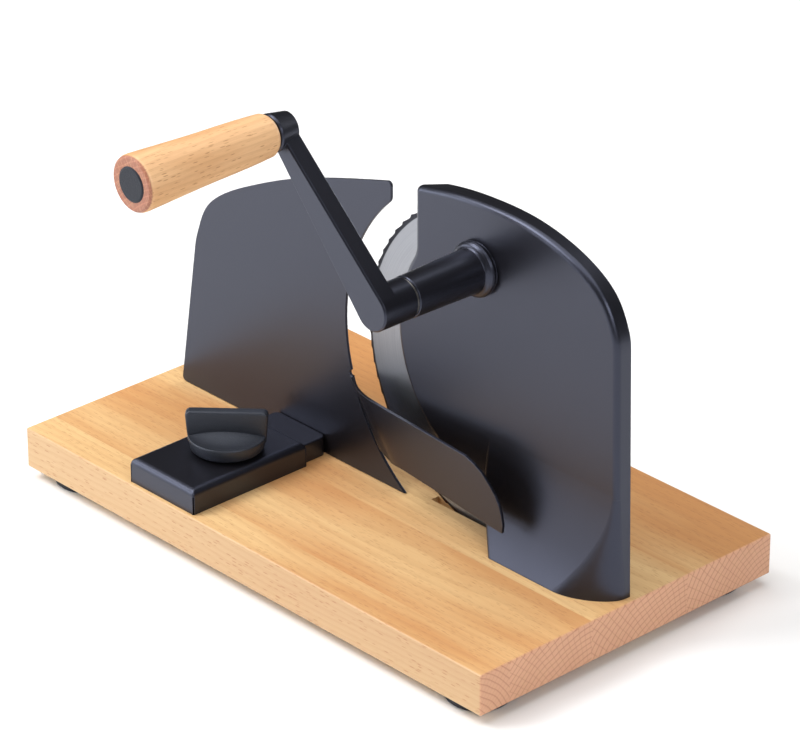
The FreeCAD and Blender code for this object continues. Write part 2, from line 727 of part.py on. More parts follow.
def make_grip(head_back):
    """Beech grip, a slim neck swelling to a thick end, with a counterbore for the bolt's head."""
    neck = size("grip_neck_radius")
    thick = size("grip_end_radius")
    swell = thick - neck
    long = size("grip_length")
    bore = size("spindle_radius") + fit
    chamber = size("spindle_radius") + 3.4
    seat = size("cap_radius") + fit
    shape = [(0.0, -1.2), (0.012, -0.35), (0.035, 0.0), (0.11, 0.13), (0.21, 0.26), (0.32, 0.35),
             (0.43, 0.42), (0.54, 0.51), (0.64, 0.62), (0.72, 0.72), (0.80, 0.82), (0.88, 0.92),
             (0.95, 1.0), (0.975, 0.98), (0.992, 0.83), (1.0, 0.55)]
    points = [(bore, grip_back)]
    points += [(neck + swell * rise, grip_back - long * share) for share, rise in shape]
    points += [(seat, grip_front), (seat, grip_front + 1.6), (chamber, grip_front + 1.6),
               (chamber, head_back + 0.3), (bore, head_back + 0.3)]
    put(keep(turned("grip", points), "grip"), grip_x, 0, grip_z)
    cap = turned("grip_cap", [
        (0, grip_front - 0.5), (size("cap_radius") - 0.9, grip_front - 0.5),
        (size("cap_radius"), grip_front), (size("cap_radius"), grip_front + 1.6),
        (chamber - fit, grip_front + 1.6), (chamber - fit, grip_front + 7),
        (chamber - 1.2, grip_front + 7), (chamber - 1.2, grip_front + 1.8),
        (0, grip_front + 1.8)])
    put(keep(cap, "grip_cap"), grip_x, 0, grip_z)


# Gears and blade
def gear_solid(teeth, bore, phase):
    """A spur gear in the XZ plane whose flanks follow the involute at three radii."""
    module = size("gear_module").value
    pitch = module * teeth / 2
    base = pitch * math.cos(math.radians(20))
    foot = pitch - 1.25 * module
    tip = pitch + module
    involute = math.tan(math.radians(20)) - math.radians(20)
    thin = size("gear_backlash").value / (4 * pitch)
    flank = []
    for radius in (foot, max(base, foot + 0.1), pitch, tip):
        angle = math.acos(min(1.0, base / radius))
        half = math.pi / (2 * teeth) - thin + involute - (math.tan(angle) - angle)
        flank.append((radius, half))
    points = []
    for tooth in range(teeth):
        middle = phase + 2 * math.pi * tooth / teeth
        sides = [(r, middle - half) for r, half in flank]
        sides += [(r, middle + half) for r, half in reversed(flank)]
        points += [at(r * math.cos(angle), r * math.sin(angle)) for r, angle in sides]
    gear = Part.Face(Part.makePolygon(points + points[:1])).extrude(
        Vector(0, size("gear_width").value, 0))
    hole = Part.makeCylinder(bore, size("gear_width").value * 3,
                             Vector(0, -size("gear_width").value, 0), Vector(0, 1, 0))
    gear = gear.cut(hole)
    gear.translate(Vector(0, gear_front.value, 0))
    return gear


def make_drive_gear():
    to_blade = math.atan2(blade_z.value - crank_z.value, blade_x.value - crank_x.value)
    gear = gear_solid(round(size("crank_teeth").value), size("shaft_radius").value + fit.value,
                      to_blade)
    deep = size("shaft_radius").value + 1.6
    keyway = Part.makeBox(3 + 2 * fit.value, 3 * size("gear_width").value, deep,
                          Vector(-1.5 - fit.value, gear_front.value - size("gear_width").value, 0))
    part = set_shape("drive_gear", gear.cut(keyway))
    put(part, crank_x, 0, crank_z)
    key = new_body("gear_key")
    sketch = new_sketch(key, "XY_Plane", "section", size("shaft_radius") - 1.5)
    draw_box(sketch, -1.5, 1.5, gear_front, gear_front + size("gear_width"))
    raise_sketch(key, "Pad", sketch, 3)
    put(keep(key, "gear_key"), crank_x, 0, crank_z)


RIVETS = 3
RIVET_CIRCLE = 24.0


def rivet_places():
    return [(RIVET_CIRCLE * math.cos(math.radians(30 + 360 * i / RIVETS)),
             RIVET_CIRCLE * math.sin(math.radians(30 + 360 * i / RIVETS))) for i in range(RIVETS)]


def make_blade():
    axle = Length(5.0)
    hub_outside = Length(7.0)
    plane = size("cutting_plane")
    radius = blade_radius.value
    depth = size("tooth_depth").value
    teeth = round(size("tooth_count").value)
    pitch = 2 * math.pi / teeth
    width = gear_front.value + size("gear_width").value

    # Scalloped outline: each tooth rises on a hollow curve and drops steeply
    edges = []
    for tooth in range(teeth):
        start = tooth * pitch
        spots = ((radius - depth, 0.0), (radius - 0.68 * depth, 0.45), (radius, 0.84),
                 (radius - depth, 1.0))
        corner = [at(r * math.cos(start + share * pitch), r * math.sin(start + share * pitch))
                  for r, share in spots]
        edges.append(arc_through(*corner[:3]))
        edges.append(Part.LineSegment(corner[2], corner[3]).toShape())
    toothed = Part.Face(Part.Wire(edges)).extrude(Vector(0, 3, 0))
    toothed.translate(Vector(0, blade_front.value - 1, 0))
    bevel = size("blade_bevel").value
    disc = turned_about(0, 0, [
        (hub_outside.value + fit.value, blade_front.value), (radius - bevel, blade_front.value),
        (radius + 1, plane.value - 0.15), (radius + 1, plane.value),
        (hub_outside.value + fit.value, plane.value)])
    holes = [Part.makeCylinder(1.5 + fit.value, 20, Vector(x, -10, z), Vector(0, 1, 0))
             for x, z in rivet_places()]
    put(set_shape("blade", disc.common(toothed).cut(holes)), blade_x, 0, blade_z)

    from_crank = math.atan2(crank_z.value - blade_z.value, crank_x.value - blade_x.value)
    count = round(size("blade_teeth").value)
    gear = gear_solid(count, hub_outside.value + fit.value, from_crank + math.pi / count)
    spacer = turned_about(0, 0, [(hub_outside.value + fit.value, width - 0.5), (30, width - 0.5),
                                 (30, blade_front.value), (hub_outside.value + fit.value,
                                                           blade_front.value)])
    put(set_shape("blade_gear", gear.fuse(spacer).cut(holes).removeSplitter()), blade_x, 0, blade_z)

    pattern = turned("rivet_pattern", [
        (0, gear_front - 0.5), (2.2, gear_front - 0.5), (2.6, gear_front - 0.2),
        (2.6, gear_front), (1.5, gear_front), (1.5, plane), (3.0, plane), (2.6, plane + 0.7),
        (1.2, plane + 1.1), (0, plane + 1.1)])
    copies("blade_rivets", pattern,
           [(blade_x + x, 0, blade_z + z) for x, z in rivet_places()])

    flange = Length(11.0)
    bush = turned("blade_bush", [
        (axle + fit, gear_front), (hub_outside, gear_front), (hub_outside, plane),
        (flange, plane), (flange - 0.5, plane + 1.4), (axle + fit, plane + 1.4)])
    put(keep(bush, "blade_bush"), blade_x, 0, blade_z)

    end = plane + 1.4 + gap
    thread = Length(2.0)
    axle_body = turned("blade_axle", [
        (0, 1.2 - size("housing_front")), (4, 1.2 - size("housing_front")), (4, wall_inside),
        (8, wall_inside), (8, gear_front - gap), (axle, gear_front - gap), (axle, end),
        (thread + fit, end), (thread + fit, end - 7), (0, end - 7)])
    put(keep(axle_body, "blade_axle"), blade_x, 0, blade_z)
    washer = turned("axle_washer", [(thread + fit, end), (9.5, end), (9.5, end + 1),
                                    (thread + fit, end + 1)])
    put(keep(washer, "axle_washer"), blade_x, 0, blade_z)
    screw = turned("axle_screw", [
        (0, end - 6), (thread, end - 6), (thread, end + 1), (7, end + 1), (7, end + 2.6),
        (5.8, end + 3.6), (3.2, end + 4.1), (0, end + 4.2)])
    slot = new_sketch(screw, "XZ_Plane", "slot", -(end + 5))
    draw_box(slot, -8, 8, -0.7, 0.7)
    raise_sketch(screw, "Pocket", slot, Length(2.4), reverse=True)
    put(keep(screw, "axle_screw"), blade_x, 0, blade_z)


# Stop plate with its bent tongue, slide bar, clamp box and knob
def make_stop_plate():
    front = -size("plate_front").value
    thick = size("plate_thickness").value
    low = size("plate_lift").value
    centre_x = size("plate_arc_x").value
    centre_z = size("plate_arc_height").value
    radius = size("plate_arc_radius").value

    def on_arc(height):
        return at(centre_x - math.sqrt(radius ** 2 - (height - centre_z) ** 2), height)

    left_x = -155.8
    tip_z = 157.8
    upper = [at(3.8, 169.2), at(-8.5, 165.7), at(-67.1, 146.5), at(-98.6, 132.2),
             at(-106.4, 128.3), at(-122.2, 118.9), at(-134.4, 106.9), at(-140.3, 93.1),
             at(-142.9, 83.6)]
    corner = Part.BSplineCurve()
    corner.interpolate(upper[3:], InitialTangent=at(-1.0, -0.5), FinalTangent=at(-0.16, -1.0))
    top = Part.BSplineCurve()
    top.interpolate(upper[:4], InitialTangent=at(-1.0, -0.26), FinalTangent=at(-1.0, -0.5))
    lower_right = at(on_arc(low).x, low)
    edges = [
        Part.LineSegment(lower_right, at(left_x + 3, low)).toShape(),
        arc_through(at(left_x + 3, low), at(left_x + 0.9, low + 0.9), at(left_x + 0.4, low + 3)),
        Part.LineSegment(at(left_x + 0.4, low + 3), upper[-1]).toShape(),
        corner.toShape(), top.toShape(),
        arc_through(upper[0], at(5.9, 168.6), at(6.5, 166.5)),
        Part.LineSegment(at(6.5, 166.5), at(6.5, 161.5)).toShape(),
        arc_through(at(6.5, 161.5), at(6.0, 159.3), on_arc(tip_z)),
        arc_through(on_arc(tip_z), at(centre_x - radius, centre_z), lower_right)]
    edges = Part.sortEdges(edges)[0]
    plate = Part.Face(Part.Wire(edges)).extrude(Vector(0, thick, 0))
    plate.translate(Vector(0, front, 0))

    # The tongue leaves the arc on a slanted bend and curves forward past the blade
    upper_run = [(-24.0, 0.0), (-17.8, -3.4), (-11.9, -6.8), (-6.7, -8.9), (-1.6, -10.2),
                 (4.4, -11.0), (18.0, -12.3), (45.0, -14.2), (77.0, -16.7), (110.0, -19.0)]
    lower_run = [(-2.5, 0.0), (5.5, -2.4), (12.0, -6.0), (18.0, -9.4), (24.0, -11.0),
                 (30.0, -11.8), (40.0, -12.9), (58.0, -14.6), (84.0, -17.2), (112.0, -19.1)]
    lower_heights = (18.5, 17.6, 19.4, 21.2, 22.3, 22.6, 22.6, 22.4, 21.8, 21.0)
    upper_edge = smooth_curve([Vector(x, front + y, 52.0) for x, y in upper_run])
    lower_edge = smooth_curve([Vector(x, front + y, z)
                               for (x, y), z in zip(lower_run, lower_heights)])
    tongue = Part.makeRuledSurface(upper_edge, lower_edge).extrude(Vector(0, thick, 0))
    leaf = [at(-40, 10), at(104.6, 10), at(105.8, 22.2), at(106.2, 25.6), at(105.0, 30.8),
            at(103.1, 35.3), at(100.0, 39.7), at(96.1, 43.3), at(90.2, 47.7), at(84.5, 50.2),
            at(78.0, 51.8), at(70, 60), at(-40, 60)]
    outline = Part.Face(Part.makePolygon(leaf + leaf[:1])).extrude(Vector(0, 80, 0))
    outline.translate(Vector(0, -60, 0))
    tongue = tongue.common(outline)
    notch = Part.makeCylinder(1.6, 10, on_arc(54.0) + Vector(0, front - 4, 0), Vector(0, 1, 0))
    holes = [Part.makeCylinder(1.5 + fit.value, 30, Vector(x, -15, z - base_top.value),
                               Vector(0, 1, 0)) for x, z in bar_screw_places()]
    part = set_shape("stop_plate", plate.fuse(tongue).cut([notch] + holes).removeSplitter())
    put(part, z=base_top)


def box_middle():
    return size("box_width") / 2 - size("box_left")


def bar_width():
    """The slide bar fills the clamp box from its side tabs to the inset on the right."""
    return size("box_width") - size("bar_inset") - size("box_sheet") - size("tab_width") - gap


def bar_middle():
    return size("box_width") - size("box_left") - size("bar_inset") - bar_width() / 2


def bar_screw_places():
    middle = bar_middle().value
    height = base_top.value + size("plate_lift").value + size("bar_height").value / 2
    return [(middle + side * bar_width().value / 4, height) for side in (-1, 1)]


def make_slide_bar():
    body = new_body("slide_bar")
    half = bar_width() / 2
    back = -size("plate_front")
    front = back - size("bar_length")
    low = base_top + gap
    outline = new_sketch(body, "XY_Plane", "outline", low)
    draw_box(outline, -half, half, front, back)
    block = raise_sketch(body, "Pad", outline, size("bar_height"))
    corners = round_edges(body, block, 3.5, lambda edge: edge.Length > size("bar_height").value
                          - 0.01 and edge.BoundBox.ZLength > 1 and edge.BoundBox.YMax
                          > back.value - 0.01)
    round_edges(body, corners, 0.8, lambda edge: near(edge.BoundBox.ZMin,
                                                      (low + size("bar_height")).value)
                and edge.BoundBox.YMax < back.value - 0.01)
    wall = size("bar_wall")
    inside = new_sketch(body, "XY_Plane", "underside", low)
    draw_box(inside, wall - half, half - wall, front + wall, back - 9)
    raise_sketch(body, "Pocket", inside, size("bar_height") - wall, reverse=True)
    holes = new_sketch(body, "XZ_Plane", "end_holes", -back)
    for side in (-1, 1):
        draw_circle(holes, bar_width() / 4 * side,
                    base_top + size("plate_lift") + size("bar_height") / 2, Length(1.5) + fit)
    raise_sketch(body, "Pocket", holes, 7.5, reverse=True)
    put(keep(body, "slide_bar"), bar_middle())
    pattern = turned("plate_screw_pattern", [
        (0, 1.3), (2.2, 1.3), (2.9, 0.6), (2.9, 0), (1.5, 0), (1.5, -7.5), (1.0, -8.3), (0, -8.3)])
    rear = -size("plate_front") + size("plate_thickness")
    copies("plate_screws", pattern, [(x, rear, z) for x, z in bar_screw_places()])


def make_clamp_box():
    body = new_body("clamp_box")
    half = size("box_width") / 2
    back = -size("box_back")
    front = back - size("box_length")
    wall = size("box_sheet")
    outline = new_sketch(body, "XY_Plane", "outline", base_top)
    draw_box(outline, -half, half, front, back)
    block = raise_sketch(body, "Pad", outline, size("box_height"))
    top = (base_top + size("box_height")).value
    bent = round_edges(body, block, size("box_round"), lambda edge: near(edge.BoundBox.ZMin, top))
    round_edges(body, bent, size("box_corner"),
                lambda edge: near(edge.BoundBox.ZMin, base_top.value)
                and edge.BoundBox.ZLength > 1 and edge.BoundBox.XLength < 0.01)
    inside = new_sketch(body, "XY_Plane", "inside", base_top)
    draw_box(inside, wall - half, half - wall, front + wall, back - wall)
    raise_sketch(body, "Pocket", inside, size("box_height") - wall, reverse=True)
    mouth = new_sketch(body, "XZ_Plane", "mouth", -back)
    shift = bar_middle() - box_middle()
    side = bar_width() / 2 + 0.5
    draw_box(mouth, shift - side, shift + side, base_top,
             base_top + gap + size("bar_height") + 0.5)
    raise_sketch(body, "Pocket", mouth, wall + 1, reverse=True)
    hole = new_sketch(body, "XY_Plane", "stud_hole", base_top + size("box_height"))
    draw_circle(hole, size("knob_x") - box_middle(), size("knob_y"), STUD_RADIUS + 0.5)
    raise_sketch(body, "Pocket", hole, wall + 1)
    tabs = new_sketch(body, "XY_Plane", "tabs", base_top)
    for x0, x1, y0, y1 in tab_boxes():
        draw_box(tabs, x0 - box_middle(), x1 - box_middle(), y0, y1)
    raise_sketch(body, "Pad", tabs, TAB_THICKNESS)
    holes = new_sketch(body, "XY_Plane", "tab_holes", base_top)
    for x, y in tab_places():
        draw_circle(holes, x - box_middle(), y, TAB_SCREW[0] + fit)
    raise_sketch(body, "Pocket", holes, TAB_THICKNESS + 0.5, reverse=True)
    put(keep(body, "clamp_box"), box_middle())

    pattern = turned("tab_screw_pattern",
                     screw_profile(TAB_SCREW, size("board_thickness") - counterbore_depth
                                   + TAB_THICKNESS),
                     along="z")
    copies("clamp_box_screws", pattern,
           [(x, y, size("foot_height") + counterbore_depth) for x, y in tab_places()])


def make_knob():
    box_top = base_top + size("box_height")
    bar_top = base_top + gap + size("bar_height")
    pad_low = bar_top + gap
    pad_high = pad_low + 0.7
    stud = STUD_RADIUS
    low = box_top + size("knob_lift")
    disc = size("knob_radius")
    under = disc - size("knob_taper")
    high = low + size("knob_disc")
    nut_height = Length(1.8)

    nut = new_body("clamp_nut")
    sketch = new_sketch(nut, "XY_Plane", "hexagon", box_top)
    corners = [(6.0 * math.cos(math.radians(60 * i)), 6.0 * math.sin(math.radians(60 * i)))
               for i in range(6)]
    draw_loop(sketch, corners)
    draw_circle(sketch, 0, 0, stud + fit)
    raise_sketch(nut, "Pad", sketch, nut_height)
    put(keep(nut, "clamp_nut"), size("knob_x"), size("knob_y"))

    stud_body = turned("clamp_stud", [
        (0, pad_high), (stud - 0.5, pad_high), (stud, pad_high + 0.5), (stud, low + 11),
        (0, low + 11)], along="z")
    put(keep(stud_body, "clamp_stud"), size("knob_x"), size("knob_y"))
    pad = turned("clamp_pad", [(0, pad_low), (6.5, pad_low), (7, pad_low + 0.3), (7, pad_high),
                               (0, pad_high)], along="z")
    put(keep(pad, "clamp_pad"), size("knob_x"), size("knob_y"))

    body = new_body("clamp_knob")
    profile = new_sketch(body, "XZ_Plane", "disc")
    draw_loop(profile, [
        (0, low), (under - 0.4, low), (under, low + 0.5), (disc, high - 1.4),
        (disc - 0.4, high - 0.35), (disc - 1.4, high), (disc - 2.6, high - 0.5),
        (disc - 6, high - 2.0), (disc - 11, high - 2.9), (0, high - 3.0)])
    turn_sketch(body, profile)
    wing = new_sketch(body, "XZ_Plane", "wing", -(size("wing_thickness") / 2))
    half = size("wing_length") / 2
    tall = box_top + size("knob_height")
    right = [(disc - 1.6, low + 1), (disc - 1.6, high + 1), (half, tall - 3.4),
             (half - 0.95, tall - 1.0), (half - 3.3, tall)]
    draw_loop(wing, right + [(-x, z) for x, z in reversed(right)])
    raised = raise_sketch(body, "Pad", wing, size("wing_thickness"))
    round_edges(body, raised, 1.6,
                lambda edge: edge.BoundBox.ZMin > high.value + 0.9
                and abs(abs(edge.BoundBox.YMin) - size("wing_thickness").value / 2) < 0.01
                and abs(edge.BoundBox.YLength) < 0.01)
    recess = new_sketch(body, "XY_Plane", "nut_recess", low)
    draw_circle(recess, 0, 0, 8)
    raise_sketch(body, "Pocket", recess, nut_height + 0.5 - size("knob_lift"), reverse=True)
    bore = new_sketch(body, "XY_Plane", "stud_bore", low)
    draw_circle(bore, 0, 0, stud + fit)
    raise_sketch(body, "Pocket", bore, fit + 11, reverse=True)
    put(keep(body, "clamp_knob"), size("knob_x"), size("knob_y"))
    body.Placement.Rotation = Rotation(Vector(0, 0, 1), size("knob_turned").value)


make_board()
make_feet()
make_housing()
make_crank()
make_drive_gear()
make_blade()
make_stop_plate()
make_slide_bar()
make_clamp_box()
make_knob()
doc.recompute()

# Every object has to be sound before anything is written
for item in doc.Objects:
    if "Invalid" in item.State or "Error" in item.State:
        raise ValueError(f"{item.Label} did not recompute: {item.State}")
for part in nodes:
    if part.Shape.isNull() or not part.Shape.isValid():
        raise ValueError(f"{part.Label} has no sound shape")

os.makedirs("parts", exist_ok=True)
for part in nodes:
    part.Shape.exportStep(f"parts/{part.Label}.step")
    print(f"{part.Label}: {len(part.Shape.Solids)} solid, {part.Shape.Volume / 1000:.2f} cm3")
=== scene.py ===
import math
from collections import namedtuple

import bmesh
import bpy
from bpy.props import FloatProperty, FloatVectorProperty, PointerProperty
from mathutils import Euler, Matrix, Vector


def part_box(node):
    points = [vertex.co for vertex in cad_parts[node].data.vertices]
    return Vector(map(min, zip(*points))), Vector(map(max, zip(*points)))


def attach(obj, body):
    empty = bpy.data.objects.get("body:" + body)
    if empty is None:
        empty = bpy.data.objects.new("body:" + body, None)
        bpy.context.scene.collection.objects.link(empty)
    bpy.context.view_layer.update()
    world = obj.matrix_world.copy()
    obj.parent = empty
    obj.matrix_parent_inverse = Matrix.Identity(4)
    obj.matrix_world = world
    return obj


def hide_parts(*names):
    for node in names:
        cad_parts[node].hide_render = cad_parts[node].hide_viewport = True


bl_info = {
    "name": "Hand cranked bread slicer",
    "version": (1, 0, 0),
    "blender": (4, 5, 0),
    "location": "3D View > Sidebar > Bread slicer",
    "description": "Finishes, fine pieces and a studio for a hand cranked bread slicer",
    "category": "Add Mesh",
}

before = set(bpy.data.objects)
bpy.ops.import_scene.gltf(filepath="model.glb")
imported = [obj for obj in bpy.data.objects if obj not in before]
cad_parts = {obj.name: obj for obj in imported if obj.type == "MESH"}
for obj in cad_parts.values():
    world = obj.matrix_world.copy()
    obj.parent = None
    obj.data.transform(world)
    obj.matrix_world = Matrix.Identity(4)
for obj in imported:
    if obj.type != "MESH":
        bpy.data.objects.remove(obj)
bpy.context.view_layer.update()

# Places taken from the frame
BOARD_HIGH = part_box("board")[1]
BLADE_LOW, BLADE_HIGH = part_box("blade")
BLADE_CENTRE = (BLADE_LOW + BLADE_HIGH) / 2
BLADE_RADIUS = (BLADE_HIGH.x - BLADE_LOW.x) / 2
GRIP_LOW, GRIP_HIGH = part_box("grip")
GRIP_CENTRE = (GRIP_LOW + GRIP_HIGH) / 2
KNOB_LOW, KNOB_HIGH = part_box("clamp_knob")
KNOB_CENTRE = (KNOB_LOW + KNOB_HIGH) / 2
BOX_LOW, BOX_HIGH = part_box("clamp_box")
BOX_CENTRE = (BOX_LOW + BOX_HIGH) / 2

# Staves of the wood: where each starts, its warmth from 0 to 1, and its pith across and deep
Stave = namedtuple("Stave", "start warmth pith_across pith_deep")
BOARD_STAVES = (Stave(-0.100, 0.05, -0.118, -0.012), Stave(-0.081, 0.62, -0.022, -0.034),
                Stave(-0.026, 0.35, 0.043, -0.038), Stave(0.040, 0.95, 0.112, -0.026))
GRIP_STAVES = (Stave(GRIP_LOW.x, 0.2, GRIP_CENTRE.x + 0.03, GRIP_CENTRE.z - 0.05),)
STAVE_SHIFT = 0.31
MEAN_WARMTH = 0.4
WARMTH_SPREAD = 0.32

# Noise in the wood: waves per metre along and across the grain, and detail
WARP = (5.0, 16.0, 3.0)
PORES = (70.0, 2400.0, 2.0)
CLOUDS = (4.5, 30.0, 4.0)
RING_WANDER = 0.014
PORE_TONE = 0.40
PORE_BASE = 0.06
PORE_RELIEF = 0.7
PORE_ROUGHNESS = 0.12
GRAIN_HEIGHT = 0.00004

# Limits between which each mark of the wood fades in
WARM_FADE = (0.30, 0.74)
LATE_FADE = (0.35, 0.95)
END_LATE_FADE = (0.66, 0.96)
END_CLOUD_FADE = (0.35, 0.75)

# Flecks: half sizes of the oval as shares of its cell, its soft rim, and which cells hold one
FLECK_OVAL = (0.42, 0.155, 0.30)
FLECK_RIM = (0.65, 1.15)
FLECK_CHOICE = (0.05, 0.75)
FLECK_SWAY = 0.006
FLECK_RELIEF = 0.4

# Marks that run out from the pith on the sawn ends
SPOKES = 17.0
SPOKE_WANDER = 2.5
SPOKE_FADE = (0.02, 0.09)
RAYS = 210.0
RAY_LENGTH = 0.006
RAY_WAVES = 20.0
RAY_FADE = (0.18, 0.42)

# Distances over which the wood's faces change to its sawn ends and narrow sides
BOARD_END_START, BOARD_END_FULL = 0.0011, 0.0003
BOARD_SIDE_START, BOARD_SIDE_FULL = 0.0010, 0.0002
GRIP_END_FULL, GRIP_END_START = 0.0006, 0.0016

# Bare metal, and the painted shadow inside the open seams
METAL_RELIEF = 0.00001
BLADE_STREAKS = (2600.0, 1.6)
BLADE_SHEEN = (60.0, 5.0)
EDGE_FADE = 0.0003
# Painted shadow in the seams' gaps: near-black, speckled a little lighter
SEAM_SHADOW = (0.001, 0.001, 0.001)
SEAM_SHADOW_SPECKLE = (0.004, 0.004, 0.004)

# Small shapes
SHARP_ANGLE = math.radians(38.0)
MERGE = 0.00001
SEAM_INSET = 0.00052
SEAM_DEPTH = 0.0003
BAR_SIDES = 12
BAR_ROUNDING = 0.45
DISC_RINGS = 24
DISC_STEPS = 96
UNDER_EDGE = 0.0006
RECESS_DEPTH = 0.0008
RIM_CURVE = ((0.0, 0.0008), (0.0001, 0.0003), (0.0004, 0.0), (0.0008, 0.0))
WING_SETBACK = 0.0006
WING_CORNER = 0.0030
WING_BORDER = 0.0013
SCOOP_OVERLAP = 0.0002
SCOOP_LEAST = 0.0005
SCOOP_CLIMB = 2.2

# Studio
SENSOR_WIDTH = 36.0
CAMERA_PLACE = (1.41923, -1.31597, 1.08184)
CAMERA_TURN = (62.964, 0.0, 47.017)
SKY_TINT = (0.97, 0.985, 1.0, 1.0)
WHITE = (1.0, 1.0, 1.0)
MIDDLE = (0.0, -0.02, 0.10)
Light = namedtuple("Light", "name place aim width height power tint")
LIGHTS = (Light("key_light", (-1.0, -1.2, 1.7), MIDDLE, 1.1, 1.1, 37.0, WHITE),
          Light("top_light", (-0.1, -0.1, 2.4), MIDDLE, 2.6, 2.6, 46.0, WHITE),
          Light("low_light", (-1.1, -1.15, 0.42), (-0.30, -0.32, 0.0), 1.3, 0.6, 11.0,
                (0.93, 0.96, 1.0)),
          Light("right_light", (1.5, -0.55, 1.0), MIDDLE, 1.0, 0.7, 11.5, WHITE),
          Light("back_light", (0.0, 2.0, 0.7), MIDDLE, 1.2, 0.5, 14.0, WHITE))


def colour(name, description, default):
    return FloatVectorProperty(name=name, description=description, default=default,
                               subtype="COLOR", size=3, min=0.0, max=1.0)


def length(name, description, default):
    return FloatProperty(name=name, description=description, default=default, unit="LENGTH",
                         precision=5)


def share(name, description, default):
    return FloatProperty(name=name, description=description, default=default,
                         subtype="FACTOR", min=0.0, max=1.0)


class WoodSettings(bpy.types.PropertyGroup):
    """Beech of the base and the grip"""
    light: colour("Light wood", "Palest tone of the planed faces", (0.78, 0.52, 0.245))
    warm: colour("Warm wood", "Deeper orange tone of the planed faces", (0.61, 0.29, 0.105))
    cream: colour("Cream wood", "Pale tone of the long narrow sides", (0.55, 0.37, 0.205))
    ring: colour("Growth rings", "Late wood lines", (0.42, 0.17, 0.065))
    fleck: colour("Flecks", "Short dark rays on the planed faces", (0.38, 0.145, 0.048))
    end: colour("End grain", "Sawn ends of the base", (0.71, 0.385, 0.235))
    end_ring: colour("End rings", "Late wood lines on the sawn ends", (0.47, 0.19, 0.11))
    grip: colour("Grip wood", "Pale tone of the turned grip", (0.93, 0.60, 0.325))
    grip_end: colour("Grip end", "Turned end of the grip", (0.33, 0.125, 0.075))
    ring_pitch: length("Ring pitch", "Distance between two growth rings", 0.0031)
    fleck_length: length("Fleck length", "Spacing of the flecks along the grain", 0.0046)
    fleck_width: length("Fleck width", "Spacing of the flecks across the grain", 0.0010)
    cream_tone: share("Cream strength", "Cream tone on the narrow sides", 0.75)
    ring_tone: share("Ring strength", "Late wood lines on the planed faces", 0.16)
    fleck_tone: share("Fleck strength", "Flecks on the planed faces", 0.66)
    end_ring_tone: share("End ring strength", "Late wood lines on the sawn ends", 0.75)
    spoke_tone: share("Spoke strength", "Broad lines out from the pith", 0.45)
    ray_tone: share("Ray strength", "Fine pale marks out from the pith", 0.28)
    end_cloud_tone: share("End cloud strength", "Darker clouds on the sawn ends", 0.12)
    roughness: share("Roughness", "Oiled surface", 0.50)


class CoatSettings(bpy.types.PropertyGroup):
    """Black powder coat of the castings and sheets, and the clamp box's corner seams"""
    black: colour("Coat", "Powder coat", (0.0050, 0.0045, 0.0055))
    roughness: share("Roughness", "Satin coat", 0.33)
    peel: length("Peel", "Height of the coat's fine orange peel", 0.000012)
    edge: length("Edge", "Radius of the coat over sharp edges", 0.0005)
    seam: length("Seam", "Width of the open seams at the clamp box's corners", 0.0007)
    lip: length("Lip", "Radius of the sheet's edge on each side of a seam", 0.00028)
    seam_drop: length("Seam drop", "How far the seams end below the box's top", 0.0036)


class SteelSettings(bpy.types.PropertyGroup):
    """Bare metal of the blade, gears, bushes and screws"""
    blade: colour("Blade", "Polished blade steel", (0.33, 0.34, 0.37))
    edge: colour("Ground edge", "Scalloped edge of the blade", (0.045, 0.045, 0.055))
    gear: colour("Gear", "Sintered gear steel", (0.42, 0.42, 0.43))
    screw: colour("Screw", "Zinc plated screws", (0.60, 0.61, 0.62))
    bush: colour("Bush", "Sintered bearing bush", (0.50, 0.48, 0.44))
    edge_width: length("Edge width", "Width of the blade's ground edge", 0.0030)


class PlasticSettings(bpy.types.PropertyGroup):
    """Moulded knob, the plug in the grip's end, and the rubber feet"""
    plastic: colour("Plastic", "Grained charcoal plastic", (0.020, 0.022, 0.028))
    cap: colour("Cap", "Smoother plug in the grip's end", (0.012, 0.013, 0.017))
    rubber: colour("Rubber", "Feet", (0.012, 0.012, 0.013))
    grain: length("Grain", "Height of the plastic's spark grain", 0.00013)
    rubber_grain: length("Rubber grain", "Height of the rubber's grain", 0.00003)


class KnobSettings(bpy.types.PropertyGroup):
    """Clamp knob with a finger scoop on each side of its wing"""
    radius: length("Radius", "Disc's rim", 0.0202)
    disc: length("Disc", "Height of the rim above the underside", 0.0072)
    lean: length("Lean", "How far the disc's side leans in towards its underside", 0.0013)
    recess: length("Recess", "Radius of the hollow under the disc that clears the nut", 0.0080)
    wing: length("Wing", "Thickness of the wing", 0.0062)
    reach: length("Reach", "Length of the wing at its top", 0.0427)
    rise: length("Rise", "How far each scoop climbs the wing in its middle", 0.0026)
    dip: length("Dip", "How far each scoop sinks below the rim", 0.0014)
    turned: FloatProperty(name="Turned", description="Angle of the wing from the X axis at rest",
                          default=math.radians(44.3), unit="ROTATION")


class StageSettings(bpy.types.PropertyGroup):
    """Floor, sky and lens"""
    floor: colour("Floor", "Pale floor", (0.93, 0.93, 0.93))
    floor_size: length("Floor size", "Side of the floor", 14.0)
    sky: FloatProperty(name="Sky", description="Strength of the even light", default=0.06)
    focal_length: FloatProperty(name="Focal length", description="Camera lens in millimetres",
                                default=195.4)


